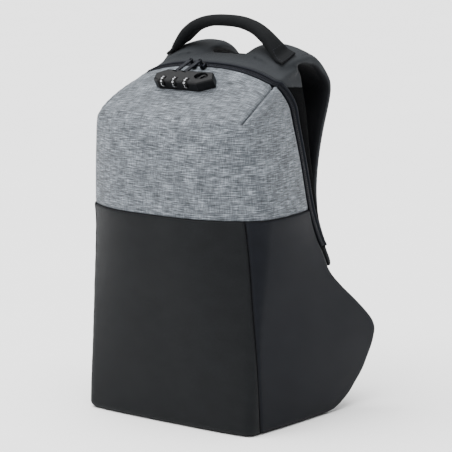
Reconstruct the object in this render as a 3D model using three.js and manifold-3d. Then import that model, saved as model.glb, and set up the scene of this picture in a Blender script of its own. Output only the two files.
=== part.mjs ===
import * as THREE from 'three';
import Module from 'manifold-3d';
import { mergeVertices } from 'three/addons/utils/BufferGeometryUtils.js';

const wasm = await Module();
wasm.setup();

// Sizes in millimetres. X points right seen from the front, Y to the wearer's back, Z up.
const bagHeight = 410;        // floor to the zipper at the top middle
const frontWidth = 238;       // across the front corners at the floor
const bodyDepth = 150;        // front corner line to the back panel
const splitHeight = 248;      // floor to the seam between the two cloths
const foldHeight = 356;       // floor to the fold where the top slope begins
const slopeDepth = 78;        // front corner line to the zipper at the top middle
const cornerDrop = 17;        // how far the top zipper falls towards its corners
const cornerInset = 19;       // how far the top corners stand in from the front corners
const wingReach = 89;         // hip wings past the back panel
const wingTip = 89;           // floor to the wing's tip
const wingTop = 172;          // floor to where the wing meets the back edge
const slopeSwell = 4.5;       // padding beside the darts stands out this far
const rimEase = 1.5;          // how far the zipper's line eases back at the top corners
const wingFlare = 18;         // how far the wing's tip stands out from the front corner
const edgeRound = 7;          // rounding along the floor
const panelWall = 4;          // backed cloth of the shell
const wingPad = 4;            // extra padding in the wings
const gap = 0.4;              // clearance between pieces that touch

const tapeWidth = 10;         // zipper tape showing beside the shell
const tapeWall = 2.4;
const tapeSet = 2.2;          // groove between the cloth and the tape
const pipingSize = 3.6;       // diameter
const yokeWall = 5;
const yokeRise = 3;           // crown of the yoke over the straight line
const yokeLift = 4;           // back panel over the top zipper
const gussetWall = 3;
const backPad = 8;            // padded back panel
const backWidth = 232;        // back panel across its foot
const backLean = 10;          // how far the back panel comes forward at the top

const strapWidth = 72;
const strapTilt = 0.15;       // radians the crest falls outwards
const strapPad = 12;
const strapBow = 4;           // crown across a strap
const strapInner = 28;        // middle plane to the straps' inner edge
const strapCrest = 23;        // straps' crest over the top zipper
const strapSplay = 22;        // how far the strap's foot stands outside its top
const webWidth = 25;
const webWall = 1.6;
const buckleSize = new THREE.Vector3(34, 6, 26);

const handleSpan = 152;       // outside width of the carry handle at its feet
const handleRise = 39;        // its apex over the yoke
const handleBand = 13;
const handleWidth = 29;
const handleDepth = 124;      // front corner line to the handle's middle
const tabWall = 3;            // its sewn tabs on the straps
const handleLean = 3;         // the grip hangs this far to the left

const lockLength = 85;
const lockWidth = 22;
const lockHeight = 12.5;
const lockAcross = -2.5;      // lock's middle from the bag's middle plane
const lockUp = 66;            // lock's middle up the slope from the fold
const lockEnd = 10;           // rounding of its ends
const dialRadius = 5.6;
const dialWidth = 7;
const dialPitch = 16.8;
const dialOffset = -9.4;      // middle dial from the lock's middle
const dialCount = 3;
const dialProud = 1.4;        // how far a dial stands out of the lock
const axleRadius = 1.2;
const recessLength = 21;
const recessWidth = 13.6;
const recessDepth = 3.6;
const recessAcross = 24;      // release recess from the lock's middle
const buttonRadius = 4.4;
const buttonTravel = 4;
const buttonRidge = 2;
const pullAcross = [-16.6, -3.4]; // pull slots from the lock's middle
const pullWidth = 5;
const pullWall = 1.8;
const pullLength = 26;
const pullLean = 0.3;         // radians away from the slope's own line
const sliderLength = 9;
const sliderWidth = 7;
const sliderHeight = 10;

// Front sections. lower is a share of splitHeight, upper of the rise from there to the fold,
// half of the front's half width, set and pillow of bodyDepth, swell of wingFlare.
const frontRows = [
  { lower: 0.0, upper: 0, half: 1.02, set: 0.035, pillow: 0.03, swell: 0.1, round: 10 },
  { lower: 0.5, upper: 0, half: 1.03, set: 0.095, pillow: 0.13, swell: 0.15, round: 12 },
  { lower: 1.0, upper: 0, half: 1.045, set: 0.165, pillow: 0.28, swell: 0.3, round: 14 },
  { lower: 1.0, upper: 0.5, half: 1.005, set: 0.13, pillow: 0.24, swell: 0.3, round: 13 },
  { lower: 1.0, upper: 1.0, half: 0.895, set: 0.04, pillow: 0.08, swell: 0.2, round: 8 },
];

// Rear edge of the shell. tip is a share of wingTip, top of the rise from the tip to wingTop,
// high of the rise from there to the top corner, flare of wingFlare, back of bodyDepth, wing of wingReach.
const rimRows = [
  { tip: 0, top: 0, high: 0, flare: 0.5, back: 1, wing: 0.03 },
  { tip: 0.045, top: 0, high: 0, flare: 0.55, back: 1, wing: 0.18 },
  { tip: 0.1, top: 0, high: 0, flare: 0.6, back: 1, wing: 0.3 },
  { tip: 0.2, top: 0, high: 0, flare: 0.7, back: 1, wing: 0.455 },
  { tip: 0.34, top: 0, high: 0, flare: 0.78, back: 1, wing: 0.6 },
  { tip: 0.48, top: 0, high: 0, flare: 0.87, back: 1, wing: 0.735 },
  { tip: 0.64, top: 0, high: 0, flare: 0.93, back: 1, wing: 0.84 },
  { tip: 0.8, top: 0, high: 0, flare: 0.98, back: 1, wing: 0.935 },
  { tip: 0.92, top: 0, high: 0, flare: 1, back: 1, wing: 0.98 },
  { tip: 1, top: 0, high: 0, flare: 1, back: 1, wing: 1 },
  { tip: 1, top: 0.13, high: 0, flare: 0.95, back: 1, wing: 0.96 },
  { tip: 1, top: 0.31, high: 0, flare: 0.86, back: 1, wing: 0.8 },
  { tip: 1, top: 0.53, high: 0, flare: 0.72, back: 1, wing: 0.56 },
  { tip: 1, top: 0.75, high: 0, flare: 0.6, back: 1, wing: 0.3 },
  { tip: 1, top: 1, high: 0, flare: 0.48, back: 1, wing: 0.06 },
  { tip: 1, top: 1, high: 0.08, flare: 0.34, back: 0.985, wing: 0 },
  { tip: 1, top: 1, high: 0.18, flare: 0.17, back: 0.91, wing: 0 },
  { tip: 1, top: 1, high: 0.285, flare: 0.05, back: 0.845, wing: 0 },
  { tip: 1, top: 1, high: 0.36, flare: -0.06, back: 0.815, wing: 0 },
  { tip: 1, top: 1, high: 0.5, flare: -0.22, back: 0.78, wing: 0 },
  { tip: 1, top: 1, high: 0.64, flare: -0.4, back: 0.75, wing: 0 },
  { tip: 1, top: 1, high: 0.79, flare: -0.61, back: 0.71, wing: 0 },
  { tip: 1, top: 1, high: 0.89, flare: -0.78, back: 0.68, wing: 0 },
  { tip: 1, top: 1, high: 0.96, flare: -0.96, back: 0.61, wing: 0 },
  { tip: 1, top: 1, high: 1, flare: -1.056, back: 0.545, wing: 0 },
];

// Back panel outline. high is a share of its height, half of backWidth / 2.
const backRows = [
  { high: 0, half: 0.98 },
  { high: 0.22, half: 1.0 },
  { high: 0.42, half: 0.95 },
  { high: 0.62, half: 0.86 },
  { high: 0.82, half: 0.8 },
  { high: 0.93, half: 0.77 },
  { high: 1, half: 0.74 },
];

// Shoulder strap seen from the side, outer face. reach is a share of bodyDepth, crest of strapCrest
// above the top zipper, drop of bagHeight below it, pad of strapPad, splay of strapSplay, width of strapWidth.
const strapRows = [
  { reach: 0.72, crest: 0.51, drop: 0, pad: 0.1, splay: 0, width: 0.8 },
  { reach: 0.77, crest: 0.64, drop: 0, pad: 0.16, splay: 0, width: 0.86 },
  { reach: 0.83, crest: 0.78, drop: 0, pad: 0.3, splay: 0, width: 0.92 },
  { reach: 0.91, crest: 0.92, drop: 0, pad: 0.55, splay: 0, width: 0.98 },
  { reach: 1.0, crest: 1.0, drop: 0, pad: 0.85, splay: 0, width: 1 },
  { reach: 1.08, crest: 1.0, drop: 0, pad: 1, splay: 0, width: 1 },
  { reach: 1.18, crest: 0.76, drop: 0, pad: 1, splay: 0, width: 1 },
  { reach: 1.265, crest: 0.2, drop: 0, pad: 1, splay: 0, width: 1 },
  { reach: 1.335, crest: 0, drop: 0.025, pad: 1, splay: 0, width: 1 },
  { reach: 1.345, crest: 0, drop: 0.06, pad: 1, splay: 0, width: 1 },
  { reach: 1.32, crest: 0, drop: 0.105, pad: 1, splay: 0, width: 1 },
  { reach: 1.26, crest: 0, drop: 0.165, pad: 1, splay: 0, width: 1 },
  { reach: 1.205, crest: 0, drop: 0.225, pad: 1, splay: 0, width: 1 },
  { reach: 1.165, crest: 0, drop: 0.29, pad: 1, splay: 0, width: 1 },
  { reach: 1.145, crest: 0, drop: 0.355, pad: 1, splay: 0, width: 1 },
  { reach: 1.16, crest: 0, drop: 0.42, pad: 1, splay: 0.02, width: 1 },
  { reach: 1.205, crest: 0, drop: 0.48, pad: 0.95, splay: 0.06, width: 1 },
  { reach: 1.265, crest: 0, drop: 0.54, pad: 0.85, splay: 0.14, width: 1 },
  { reach: 1.32, crest: 0, drop: 0.59, pad: 0.6, splay: 0.3, width: 1 },
];

// Carry handle seen from the front. out is a share of handleSpan / 2, rise of handleRise.
const handleRows = [
  { out: 0.0, rise: 0.845, band: 1 },
  { out: 0.27, rise: 0.81, band: 1 },
  { out: 0.5, rise: 0.65, band: 1 },
  { out: 0.7, rise: 0.4, band: 1 },
  { out: 0.84, rise: 0.19, band: 0.8 },
  { out: 0.95, rise: 0.03, band: 0.4 },
  { out: 1.05, rise: 0, band: 0.25 },
  { out: 1.17, rise: 0, band: 0.23 },
];

const halfFront = frontWidth / 2;
const backHeight = bagHeight + yokeLift;
const topHalf = halfFront - cornerInset;
const topCorner = bagHeight - cornerDrop;
const pillowPower = 3;
const dropPower = 2.4;
const dartWay = new THREE.Vector3(0.8, -0.2, 0.55);

const v3 = (x, y, z) => new THREE.Vector3(x, y, z);
const mix = THREE.MathUtils.lerp;
const smooth = THREE.MathUtils.smoothstep;

// Value of a column at place t, through the rows, without overshoot at the ends.
function column(rows, place, name, t) {
  let i = 0;
  while (i < rows.length - 2 && t > place(rows[i + 1])) i++;
  const a = rows[Math.max(i - 1, 0)], b = rows[i], c = rows[i + 1], d = rows[Math.min(i + 2, rows.length - 1)];
  const span = place(c) - place(b);
  const k = THREE.MathUtils.clamp((t - place(b)) / span, 0, 1);
  const slope = (p, q) => (place(q) > place(p) ? (q[name] - p[name]) / (place(q) - place(p)) : 0);
  const s = slope(b, c);
  const limit = (w) => (w * s <= 0 ? 0 : Math.sign(s) * Math.min(Math.abs(w), 3 * Math.abs(s)));
  const m0 = i > 0 ? limit((slope(a, b) + s) / 2) : s;
  const m1 = i < rows.length - 2 ? limit((s + slope(c, d)) / 2) : s;
  const k2 = k * k, k3 = k2 * k;
  return (2 * k3 - 3 * k2 + 1) * b[name] + (k3 - 2 * k2 + k) * span * m0 + (3 * k2 - 2 * k3) * c[name] + (k3 - k2) * span * m1;
}

const frontPlace = (r) => r.lower * splitHeight + r.upper * (foldHeight - splitHeight);
const rimPlace = (r) => r.tip * wingTip + r.top * (wingTop - wingTip) + r.high * (topCorner - wingTop);

// Rear edge of the shell at a height.
function rimAt(z) {
  const at = (name) => column(rimRows, rimPlace, name, z);
  return v3(halfFront + at('flare') * wingFlare, at('back') * bodyDepth + at('wing') * wingReach, z);
}

// One section of the shell. Rows 0 to 1 are the lower cloth, 1 to 2 the upper cloth, 2 to 3 the top slope.
function section(row) {
  const t = Math.max(row - 2, 0);
  const z = row < 1 ? Math.max(row, 0) * splitHeight : mix(splitHeight, foldHeight, Math.min(row - 1, 1));
  const at = (name) => column(frontRows, frontPlace, name, z);
  const inset = z < edgeRound ? edgeRound - Math.sqrt(edgeRound ** 2 - (edgeRound - z) ** 2) : 0;
  const corner = v3(at('half') * halfFront - inset, at('set') * bodyDepth + inset, z);
  const pillow = at('pillow') * bodyDepth;
  const middle = v3(0, corner.y - pillow, z);
  const rim = rimAt(z);
  rim.x -= inset;
  const result = { middle, corner, rim, round: at('round'), swell: at('swell') * wingFlare };
  if (t > 0) {
    middle.lerp(v3(0, slopeDepth, bagHeight), t);
    corner.lerp(v3(topHalf, slopeDepth, topCorner), t);
    corner.addScaledVector(dartWay, slopeSwell * 4 * t * (1 - t));
    rim.copy(rimAt(mix(foldHeight, topCorner, t)));
    rim.y += rimEase * t;
    result.round = mix(result.round, 3, t);
    result.swell *= 1 - t;
  }
  return result;
}

// Half a section as a dense line from the middle plane to the rear edge.
const sectionCache = new Map();
function halfLine(row) {
  const key = row.toFixed(6);
  if (sectionCache.has(key)) return sectionCache.get(key);
  const { middle, corner, rim, round, swell } = section(row);
  const front = (k) => v3(corner.x * k, mix(middle.y, corner.y, k ** pillowPower), mix(middle.z, corner.z, k ** dropPower));
  const side = (k) => corner.clone().lerp(rim, k).add(v3(swell * 4 * k * (1 - k), 0, 0));
  const frontLength = corner.distanceTo(middle), sideLength = corner.distanceTo(rim);
  const a = 1 - round / frontLength, b = Math.min(round / sideLength, 0.5);
  const start = front(a), end = side(b);
  const points = [], marks = [];
  for (let i = 0; i <= 30; i++) points.push(front((a * i) / 30));
  const bend = new THREE.QuadraticBezierCurve3(start, front(1), end);
  for (let i = 1; i < 8; i++) points.push(bend.getPoint(i / 8));
  for (let i = 0; i <= 24; i++) points.push(side(b + ((1 - b) * i) / 24));
  let length = 0;
  points.forEach((p, i) => marks.push((length += i ? p.distanceTo(points[i - 1]) : 0)));
  const line = { points, marks, length, corner: (marks[30] + marks[38]) / 2 };
  sectionCache.set(key, line);
  return line;
}

function alongLine(line, s) {
  const d = Math.min(Math.abs(s), line.length);
  let i = 1;
  while (i < line.marks.length - 1 && line.marks[i] < d) i++;
  const k = (d - line.marks[i - 1]) / (line.marks[i] - line.marks[i - 1]);
  const p = line.points[i - 1].clone().lerp(line.points[i], k);
  if (s < 0) p.x = -p.x;
  return p;
}

const seamShift = frontWidth * 0.076; // the seam runs from the front of the corner at the top to its side at the floor
const seamAt = (row) => halfLine(row).corner + mix(seamShift, -seamShift, row);

// A closed solid from a grid of outer points and a matching grid of inner points.
function slab(outer, inner) {
  const nu = outer.length, nv = outer[0].length;
  const positions = [], index = [];
  const id = (layer, i, j) => (layer * nu + i) * nv + j;
  for (const layer of [outer, inner]) layer.forEach((line) => line.forEach((p) => positions.push(p.x, p.y, p.z)));
  const quad = (a, b, c, d) => index.push(a, b, c, a, c, d);
  for (let i = 0; i < nu - 1; i++)
    for (let j = 0; j < nv - 1; j++) {
      quad(id(0, i, j), id(0, i + 1, j), id(0, i + 1, j + 1), id(0, i, j + 1));
      quad(id(1, i, j), id(1, i, j + 1), id(1, i + 1, j + 1), id(1, i + 1, j));
    }
  for (let i = 0; i < nu - 1; i++) {
    quad(id(0, i, 0), id(1, i, 0), id(1, i + 1, 0), id(0, i + 1, 0));
    quad(id(0, i, nv - 1), id(0, i + 1, nv - 1), id(1, i + 1, nv - 1), id(1, i, nv - 1));
  }
  for (let j = 0; j < nv - 1; j++) {
    quad(id(0, 0, j), id(0, 0, j + 1), id(1, 0, j + 1), id(1, 0, j));
    quad(id(0, nu - 1, j), id(1, nu - 1, j), id(1, nu - 1, j + 1), id(0, nu - 1, j + 1));
  }
  return facingOut(positions, index);
}

// Turns the faces round if they enclose a negative volume.
function facingOut(positions, index) {
  let volume = 0;
  const p = (i) => v3(positions[3 * i], positions[3 * i + 1], positions[3 * i + 2]);
  for (let i = 0; i < index.length; i += 3) volume += p(index[i]).dot(p(index[i + 1]).cross(p(index[i + 2])));
  if (volume < 0) index.reverse();
  const geometry = new THREE.BufferGeometry();
  geometry.setAttribute('position', new THREE.Float32BufferAttribute(positions, 3));
  geometry.setIndex(index);
  return geometry;
}

// A wall of a given thickness behind a surface; inside points away from the outer face.
const nudge = 2e-3;
function plate(surface, us, vs, wall, inside, rate = 1) {
  const outer = us.map((u) => vs.map((v) => surface(u, v)));
  const inner = outer.map((line, i) =>
    line.map((p, j) => {
      const du = surface(us[i] + nudge, vs[j]).sub(surface(us[i] - nudge, vs[j]));
      const dv = surface(us[i], vs[j] + nudge * rate).sub(surface(us[i], vs[j] - nudge * rate));
      const n = du.cross(dv).normalize();
      if (n.dot(inside(p)) < 0) n.negate();
      return p.clone().addScaledVector(n, typeof wall === 'function' ? wall(p) : wall);
    }),
  );
  return slab(outer, inner);
}

const steps = (from, to, count) => Array.from({ length: count + 1 }, (_, i) => mix(from, to, i / count));

// Solid through closed rings of equal count, with flat ends.
function loft(rings) {
  const n = rings[0].length, positions = [], index = [];
  rings.forEach((ring) => ring.forEach((p) => positions.push(p.x, p.y, p.z)));
  for (let i = 0; i < rings.length - 1; i++)
    for (let j = 0; j < n; j++) {
      const a = i * n + j, b = i * n + ((j + 1) % n);
      index.push(a, b, b + n, a, b + n, a + n);
    }
  for (const [start, flip] of [[0, true], [(rings.length - 1) * n, false]])
    for (let j = 1; j < n - 1; j++) index.push(start, start + (flip ? j + 1 : j), start + (flip ? j : j + 1));
  return facingOut(positions, index);
}

// Ring of a flat band with rounded edges, set on a point with its two directions.
function bandRing(centre, across, out, width, wall, bow = 0) {
  const r = wall / 2, ring = [];
  const faceSpots = bow ? [0.5, 0, -0.5] : [];
  for (const side of [1, -1]) {
    for (let k = -2; k <= 2; k++) {
      const a = (k * Math.PI) / 4;
      ring.push(v3(side * (width / 2 - r + r * Math.cos(a)), side * r * Math.sin(a), 0));
    }
    for (const t of faceSpots) ring.push(v3((side * t * width) / 2, side * r, 0));
  }
  return ring.map((q) => centre.clone().addScaledVector(across, q.x).addScaledVector(out, q.y - bow * (2 * q.x / width) ** 2));
}

// Booleans on closed meshes
function toSolid(geometry) {
  const g = geometry.clone();
  g.deleteAttribute('normal');
  g.deleteAttribute('uv');
  const m = mergeVertices(g, 1e-4);
  return new wasm.Manifold(new wasm.Mesh({ numProp: 3, vertProperties: new Float32Array(m.attributes.position.array), triVerts: new Uint32Array(m.index.array) }));
}
function toGeometry(solid) {
  const m = solid.getMesh();
  const geometry = new THREE.BufferGeometry();
  geometry.setAttribute('position', new THREE.Float32BufferAttribute(m.vertProperties, 3));
  geometry.setIndex(Array.from(m.triVerts));
  return geometry;
}
const inward = (p) => v3(-p.x, bodyDepth * 0.6 - p.y, Math.min(splitHeight, foldHeight) * 0.9 - p.z);
const shellWall = (p) => panelWall + wingPad * smooth(p.y, bodyDepth, bodyDepth + wingReach * 0.3);
const cloth = (color, roughness) => new THREE.MeshStandardMaterial({ color, roughness, metalness: 0 });

const heatherCloth = cloth(0x9ba1a8, 0.95);
const darkCloth = cloth(0x2d3136, 0.8);
const sideCloth = cloth(0x2a2d34, 0.8);
const yokeCloth = cloth(0x3a3f44, 0.85);
const meshCloth = cloth(0x1b1d21, 1);
const zipTape = cloth(0x1e2029, 0.7);
const webbing = cloth(0x17191c, 0.85);
const hardPlastic = new THREE.MeshStandardMaterial({ color: 0x1d2023, roughness: 0.4, metalness: 0 });
const dialPlastic = new THREE.MeshStandardMaterial({ color: 0x131517, roughness: 0.45, metalness: 0 });
const zipMetal = new THREE.MeshStandardMaterial({ color: 0x23262b, roughness: 0.35, metalness: 0.8 });

const model = new THREE.Group();
function add(name, geometry, material, parent = model) {
  const mesh = new THREE.Mesh(geometry, material);
  mesh.name = name;
  parent.add(mesh);
  return mesh;
}

// Shell panels
const rowGap = gap / 2 / splitHeight;
const lowRows = [0, edgeRound * 0.3, edgeRound].map((z) => z / splitHeight);
const lowLevels = [
  ...lowRows,
  ...rimRows.map(rimPlace).filter((z) => z > edgeRound * 1.4 && z < splitHeight * 0.9).map((z) => z / splitHeight),
  1 - rowGap,
];
add('lower_front_panel', plate((u, row) => alongLine(halfLine(row), u * (seamAt(row) - gap / 2)), steps(-1, 1, 18), lowLevels, panelWall, inward), darkCloth);
for (const [side, sign] of [['right', 1], ['left', -1]]) {
  const wall = plate(
    (u, row) => alongLine(halfLine(row), sign * mix(seamAt(row) + gap / 2, halfLine(row).length, u)),
    steps(0, 1, 12), lowLevels, shellWall, inward);
  add(`side_panel_${side}`, wall, sideCloth);
}
const upperSpots = [...steps(0, 0.86, 6), 0.94, 1, ...[0.06, 0.15, 0.35, 0.6, 0.8, 1].map((u) => 1 + u)];
const upperColumns = [...upperSpots.slice(1).reverse().map((u) => -u), ...upperSpots];
const upperPoint = (u, row) => {
  const line = halfLine(row), a = Math.abs(u);
  return alongLine(line, Math.sign(u) * (a < 1 ? a * line.corner : mix(line.corner, line.length, a - 1)));
};
const upperLevels = [1 + rowGap, ...steps(1.25, 1.9, 4), 2, ...steps(2.2, 3, 4)];
add('upper_panel', plate(upperPoint, upperColumns, upperLevels, panelWall, inward), heatherCloth);

// Flat floor of the bag, inside the rounded edge
const floorLine = halfLine(0).points.map((p) => new THREE.Vector2(p.x, p.y)).filter((p) => p.y < bodyDepth * 0.985);
const floorInset = gap + panelWall * 0.5;
const floorHalf = floorLine.filter((_, i) => i % 3 === 0 || i > 29).map((p) => new THREE.Vector2(Math.max(p.x - floorInset, 0), p.y + floorInset));
const floorRear = bodyDepth + backPad * 0.5;
const floorShape = new THREE.Shape([
  ...floorHalf,
  new THREE.Vector2(floorHalf.at(-1).x, floorRear),
  new THREE.Vector2(-floorHalf.at(-1).x, floorRear),
  ...floorHalf.slice(1).reverse().map((p) => new THREE.Vector2(-p.x, p.y)),
]);
add('base_panel', new THREE.ExtrudeGeometry(floorShape, { depth: panelWall, bevelEnabled: false }), darkCloth);

// Rear edge path by shell row: up the side to the top corner at 3, then along the top to the middle at 4
const tapeStart = (wingTop + wingTip * 0.34) / splitHeight;
const cornerSpot = 0.94;
function rimPath(w) {
  if (w <= 3) return section(w).rim;
  const top = upperPoint(Math.min(cornerSpot, 4 - w), 3);
  return section(3).rim.lerp(top, Math.min((w - 3) / (1 - cornerSpot), 1));
}
// Direction in which the zipper tape leaves the shell's edge
function tapeWay(w) {
  const p = rimPath(w);
  const sideWay = v3(-0.2, 0.98, 0), topWay = v3(0, 0.95, 0.31);
  return sideWay.lerp(topWay, smooth(p.z, foldHeight * 0.916, topCorner) * 0.6 + smooth(w, 3, 3.3) * 0.4).normalize();
}
const mirrored = (point, sign) => (sign < 0 ? v3(-point.x, point.y, point.z) : point);
const offRim = (w, away) => rimPath(w).addScaledVector(tapeWay(w), away);
const whole = (fn) => (w) => (w <= 4 ? fn(w) : mirrored(fn(8 - w), -1));
const sideSpots = [tapeStart, ...lowLevels.slice(0, -1).filter((r) => r > tapeStart + 0.02), ...upperLevels];
const pathSpots = [...sideSpots, ...upperSpots.filter((u) => u <= cornerSpot).reverse().map((u) => 4 - u)];
const wholeSpots = [...pathSpots, ...pathSpots.slice(0, -1).reverse().map((w) => 8 - w)];
const tapeIn = (p) => v3(-p.x, 0.2 * bodyDepth, splitHeight - p.z);
add('zipper_tape', plate((w, k) => whole((x) => offRim(x, mix(tapeSet, tapeWidth, k)))(w), wholeSpots, [0, 1], tapeWall, tapeIn), zipTape);

const pipingAt = tapeWidth + gap + pipingSize / 2;
const pipingRings = wholeSpots.map((w, i) => {
  const at = whole((x) => offRim(x, pipingAt));
  const c = at(w), ahead = at(wholeSpots[Math.min(i + 1, wholeSpots.length - 1)]), behind = at(wholeSpots[Math.max(i - 1, 0)]);
  const tangent = ahead.sub(behind).normalize();
  const way = whole(tapeWay)(w);
    const up = tangent.clone().cross(way).normalize(), out = up.clone().cross(tangent).normalize();
  return steps(0, 7 / 8, 7).map((k) => c.clone().addScaledVector(out, (Math.cos(2 * Math.PI * k) * pipingSize) / 2).addScaledVector(up, (Math.sin(2 * Math.PI * k) * pipingSize) / 2));
});
add('zipper_piping', loft(pipingRings), sideCloth);

// Back panel: leans forward towards the top and curls over it
const backPlace = (r) => r.high * backHeight;
const backY = (z) => bodyDepth + backPad * 0.5 - backLean * (z / backHeight) + backPad * 0.5;
const backHalf = (z) => (column(backRows, backPlace, 'half', z) * backWidth) / 2;
const backFoot = panelWall + gap;
const curlRadius = backPad * 1.75;
const backTop = backHeight - curlRadius * 0.4;
// The top falls away under the straps, as they do
const shoulderFall = (x, z) => Math.sin(strapTilt) * Math.max(Math.abs(x) - strapInner, 0) * smooth(z, backTop * 0.85, backTop);
const backPoint = (u, z) => {
  const over = Math.max(z - backTop, 0) / curlRadius;
  const a = Math.min(over, Math.PI / 2);
  const y = backY(backTop > z ? z : backTop);
  const x = u * backHalf(Math.min(z, backHeight));
  return v3(x, y - curlRadius * (1 - Math.cos(a)), Math.min(z, backTop) + curlRadius * Math.sin(a) - shoulderFall(x, z));
};
const backLevels = [...steps(backFoot, backTop, 12), ...steps(backTop + curlRadius / 2, backTop + (curlRadius * Math.PI) / 2, 2)];
add('back_panel', plate(backPoint, steps(-1, 1, 8), backLevels, backPad, (p) => v3(0, -1, p.z > backTop ? -1.5 : 0)), meshCloth);

// Rear shell from the piping to the back panel: gussets at the sides, the yoke over the top
const rearGap = pipingAt + pipingSize / 2 + gap * 3;
function innerSide(z) {
  const line = halfLine(z / splitHeight), y = bodyDepth - 2;
  const i = line.points.findIndex((p, k) => k > 31 && p.y >= y);
  const p = line.points[i < 0 ? line.points.length - 1 : i];
  return v3(p.x - panelWall - gap * 3 - Math.max(edgeRound - z, 0), y, z);
}
const cornerTurn = 0.1; // share of the top path in which the yoke turns round the back panel's corner
function rearPoint(w, k) {
  const outer = offRim(w, rearGap);
  let inner;
  if (w <= 3) {
    const z = mix(tapeStart * splitHeight, backTop, (w - tapeStart) / (3 - tapeStart));
    inner = v3(backHalf(z) + gap + yokeWall, backY(z) - backPad * 0.4, z);
  } else {
    const turn = Math.min((w - 3) / cornerTurn, 1), t = Math.max(w - 3 - cornerTurn, 0) / (1 - cornerTurn);
    inner = v3(
      mix(backHalf(backTop) + gap + yokeWall, 0, t),
      mix(backY(backTop) - backPad * 0.4, backY(backTop) - curlRadius - gap - yokeWall * 0.3, turn),
      backTop + (curlRadius - gap) * Math.sin((turn * Math.PI) / 2));
  }
  inner.z -= shoulderFall(inner.x, inner.z);
  const chord = inner.clone().sub(outer);
  const rise = yokeRise * smooth(w, 2.8, 3.4) * Math.sin(Math.PI * k);
  const side = gussetWall * (1 - smooth(w, 2.5, 3)) * Math.sin(Math.PI * k);
  return outer.addScaledVector(chord, k).add(v3(side, side, rise));
}
const gussetTop = 2.8;
for (const [side, sign] of [['right', 1], ['left', -1]]) {
  const point = (w, k) => {
    if (w > tapeStart) return mirrored(rearPoint(w, k), sign);
    const z = Math.max(w * splitHeight, backFoot);
    const low = innerSide(z).lerp(v3(backHalf(z) + gap + yokeWall, backY(z) - backPad * 0.4, z), k);
    return mirrored(low.lerp(rearPoint(tapeStart, k), smooth(w, tapeStart - 0.06, tapeStart)), sign);
  };
  const spots = [...steps(backFoot / splitHeight, tapeStart - 0.06, 7), ...sideSpots.filter((w) => w < gussetTop - 0.05), gussetTop];
  add(`gusset_${side}`, plate(point, spots, [0, 0.5, 1], gussetWall, (p) => v3(-p.x, -0.3 * bodyDepth, 0)), meshCloth);
}
const yokeSpots = [gussetTop + 0.006, 3, ...steps(3.1, 4, 8)];
add('yoke', plate((w, k) => whole((x) => rearPoint(x, k))(w), [...yokeSpots, ...yokeSpots.slice(0, -1).reverse().map((w) => 8 - w)], steps(0, 1, 6), yokeWall, (p) => v3(-p.x * 0.3, -backLean, -bagHeight * 0.15)), yokeCloth);

// Shoulder straps
function strapFrame(row) {
  const y = row.reach * bodyDepth, z = bagHeight + row.crest * strapCrest - row.drop * bagHeight;
  const width = row.width * strapWidth;
  return { x: strapInner + width / 2 + row.splay * strapSplay, y, z, width, wall: row.pad * strapPad };
}
const strapFrames = strapRows.map(strapFrame);
for (const [side, sign] of [['right', 1], ['left', -1]]) {
  const rings = strapFrames.map((f, i) => {
    const a = strapFrames[Math.max(i - 1, 0)], b = strapFrames[Math.min(i + 1, strapFrames.length - 1)];
    const tangent = v3(b.x - a.x, b.y - a.y, b.z - a.z).normalize();
    const fall = strapTilt * smooth(f.z, bagHeight * 0.8, bagHeight);
    const across = v3(1, 0, -Math.sin(fall));
    across.addScaledVector(tangent, -across.dot(tangent)).normalize();
    const out = across.clone().cross(tangent);
    const centre = v3(f.x, f.y, f.z).addScaledVector(out, -f.wall / 2);
    return bandRing(centre, across, out, f.width, f.wall, strapBow).map((p) => mirrored(p, sign));
  });
  add(`shoulder_strap_${side}`, loft(rings), yokeCloth);
}

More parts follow.
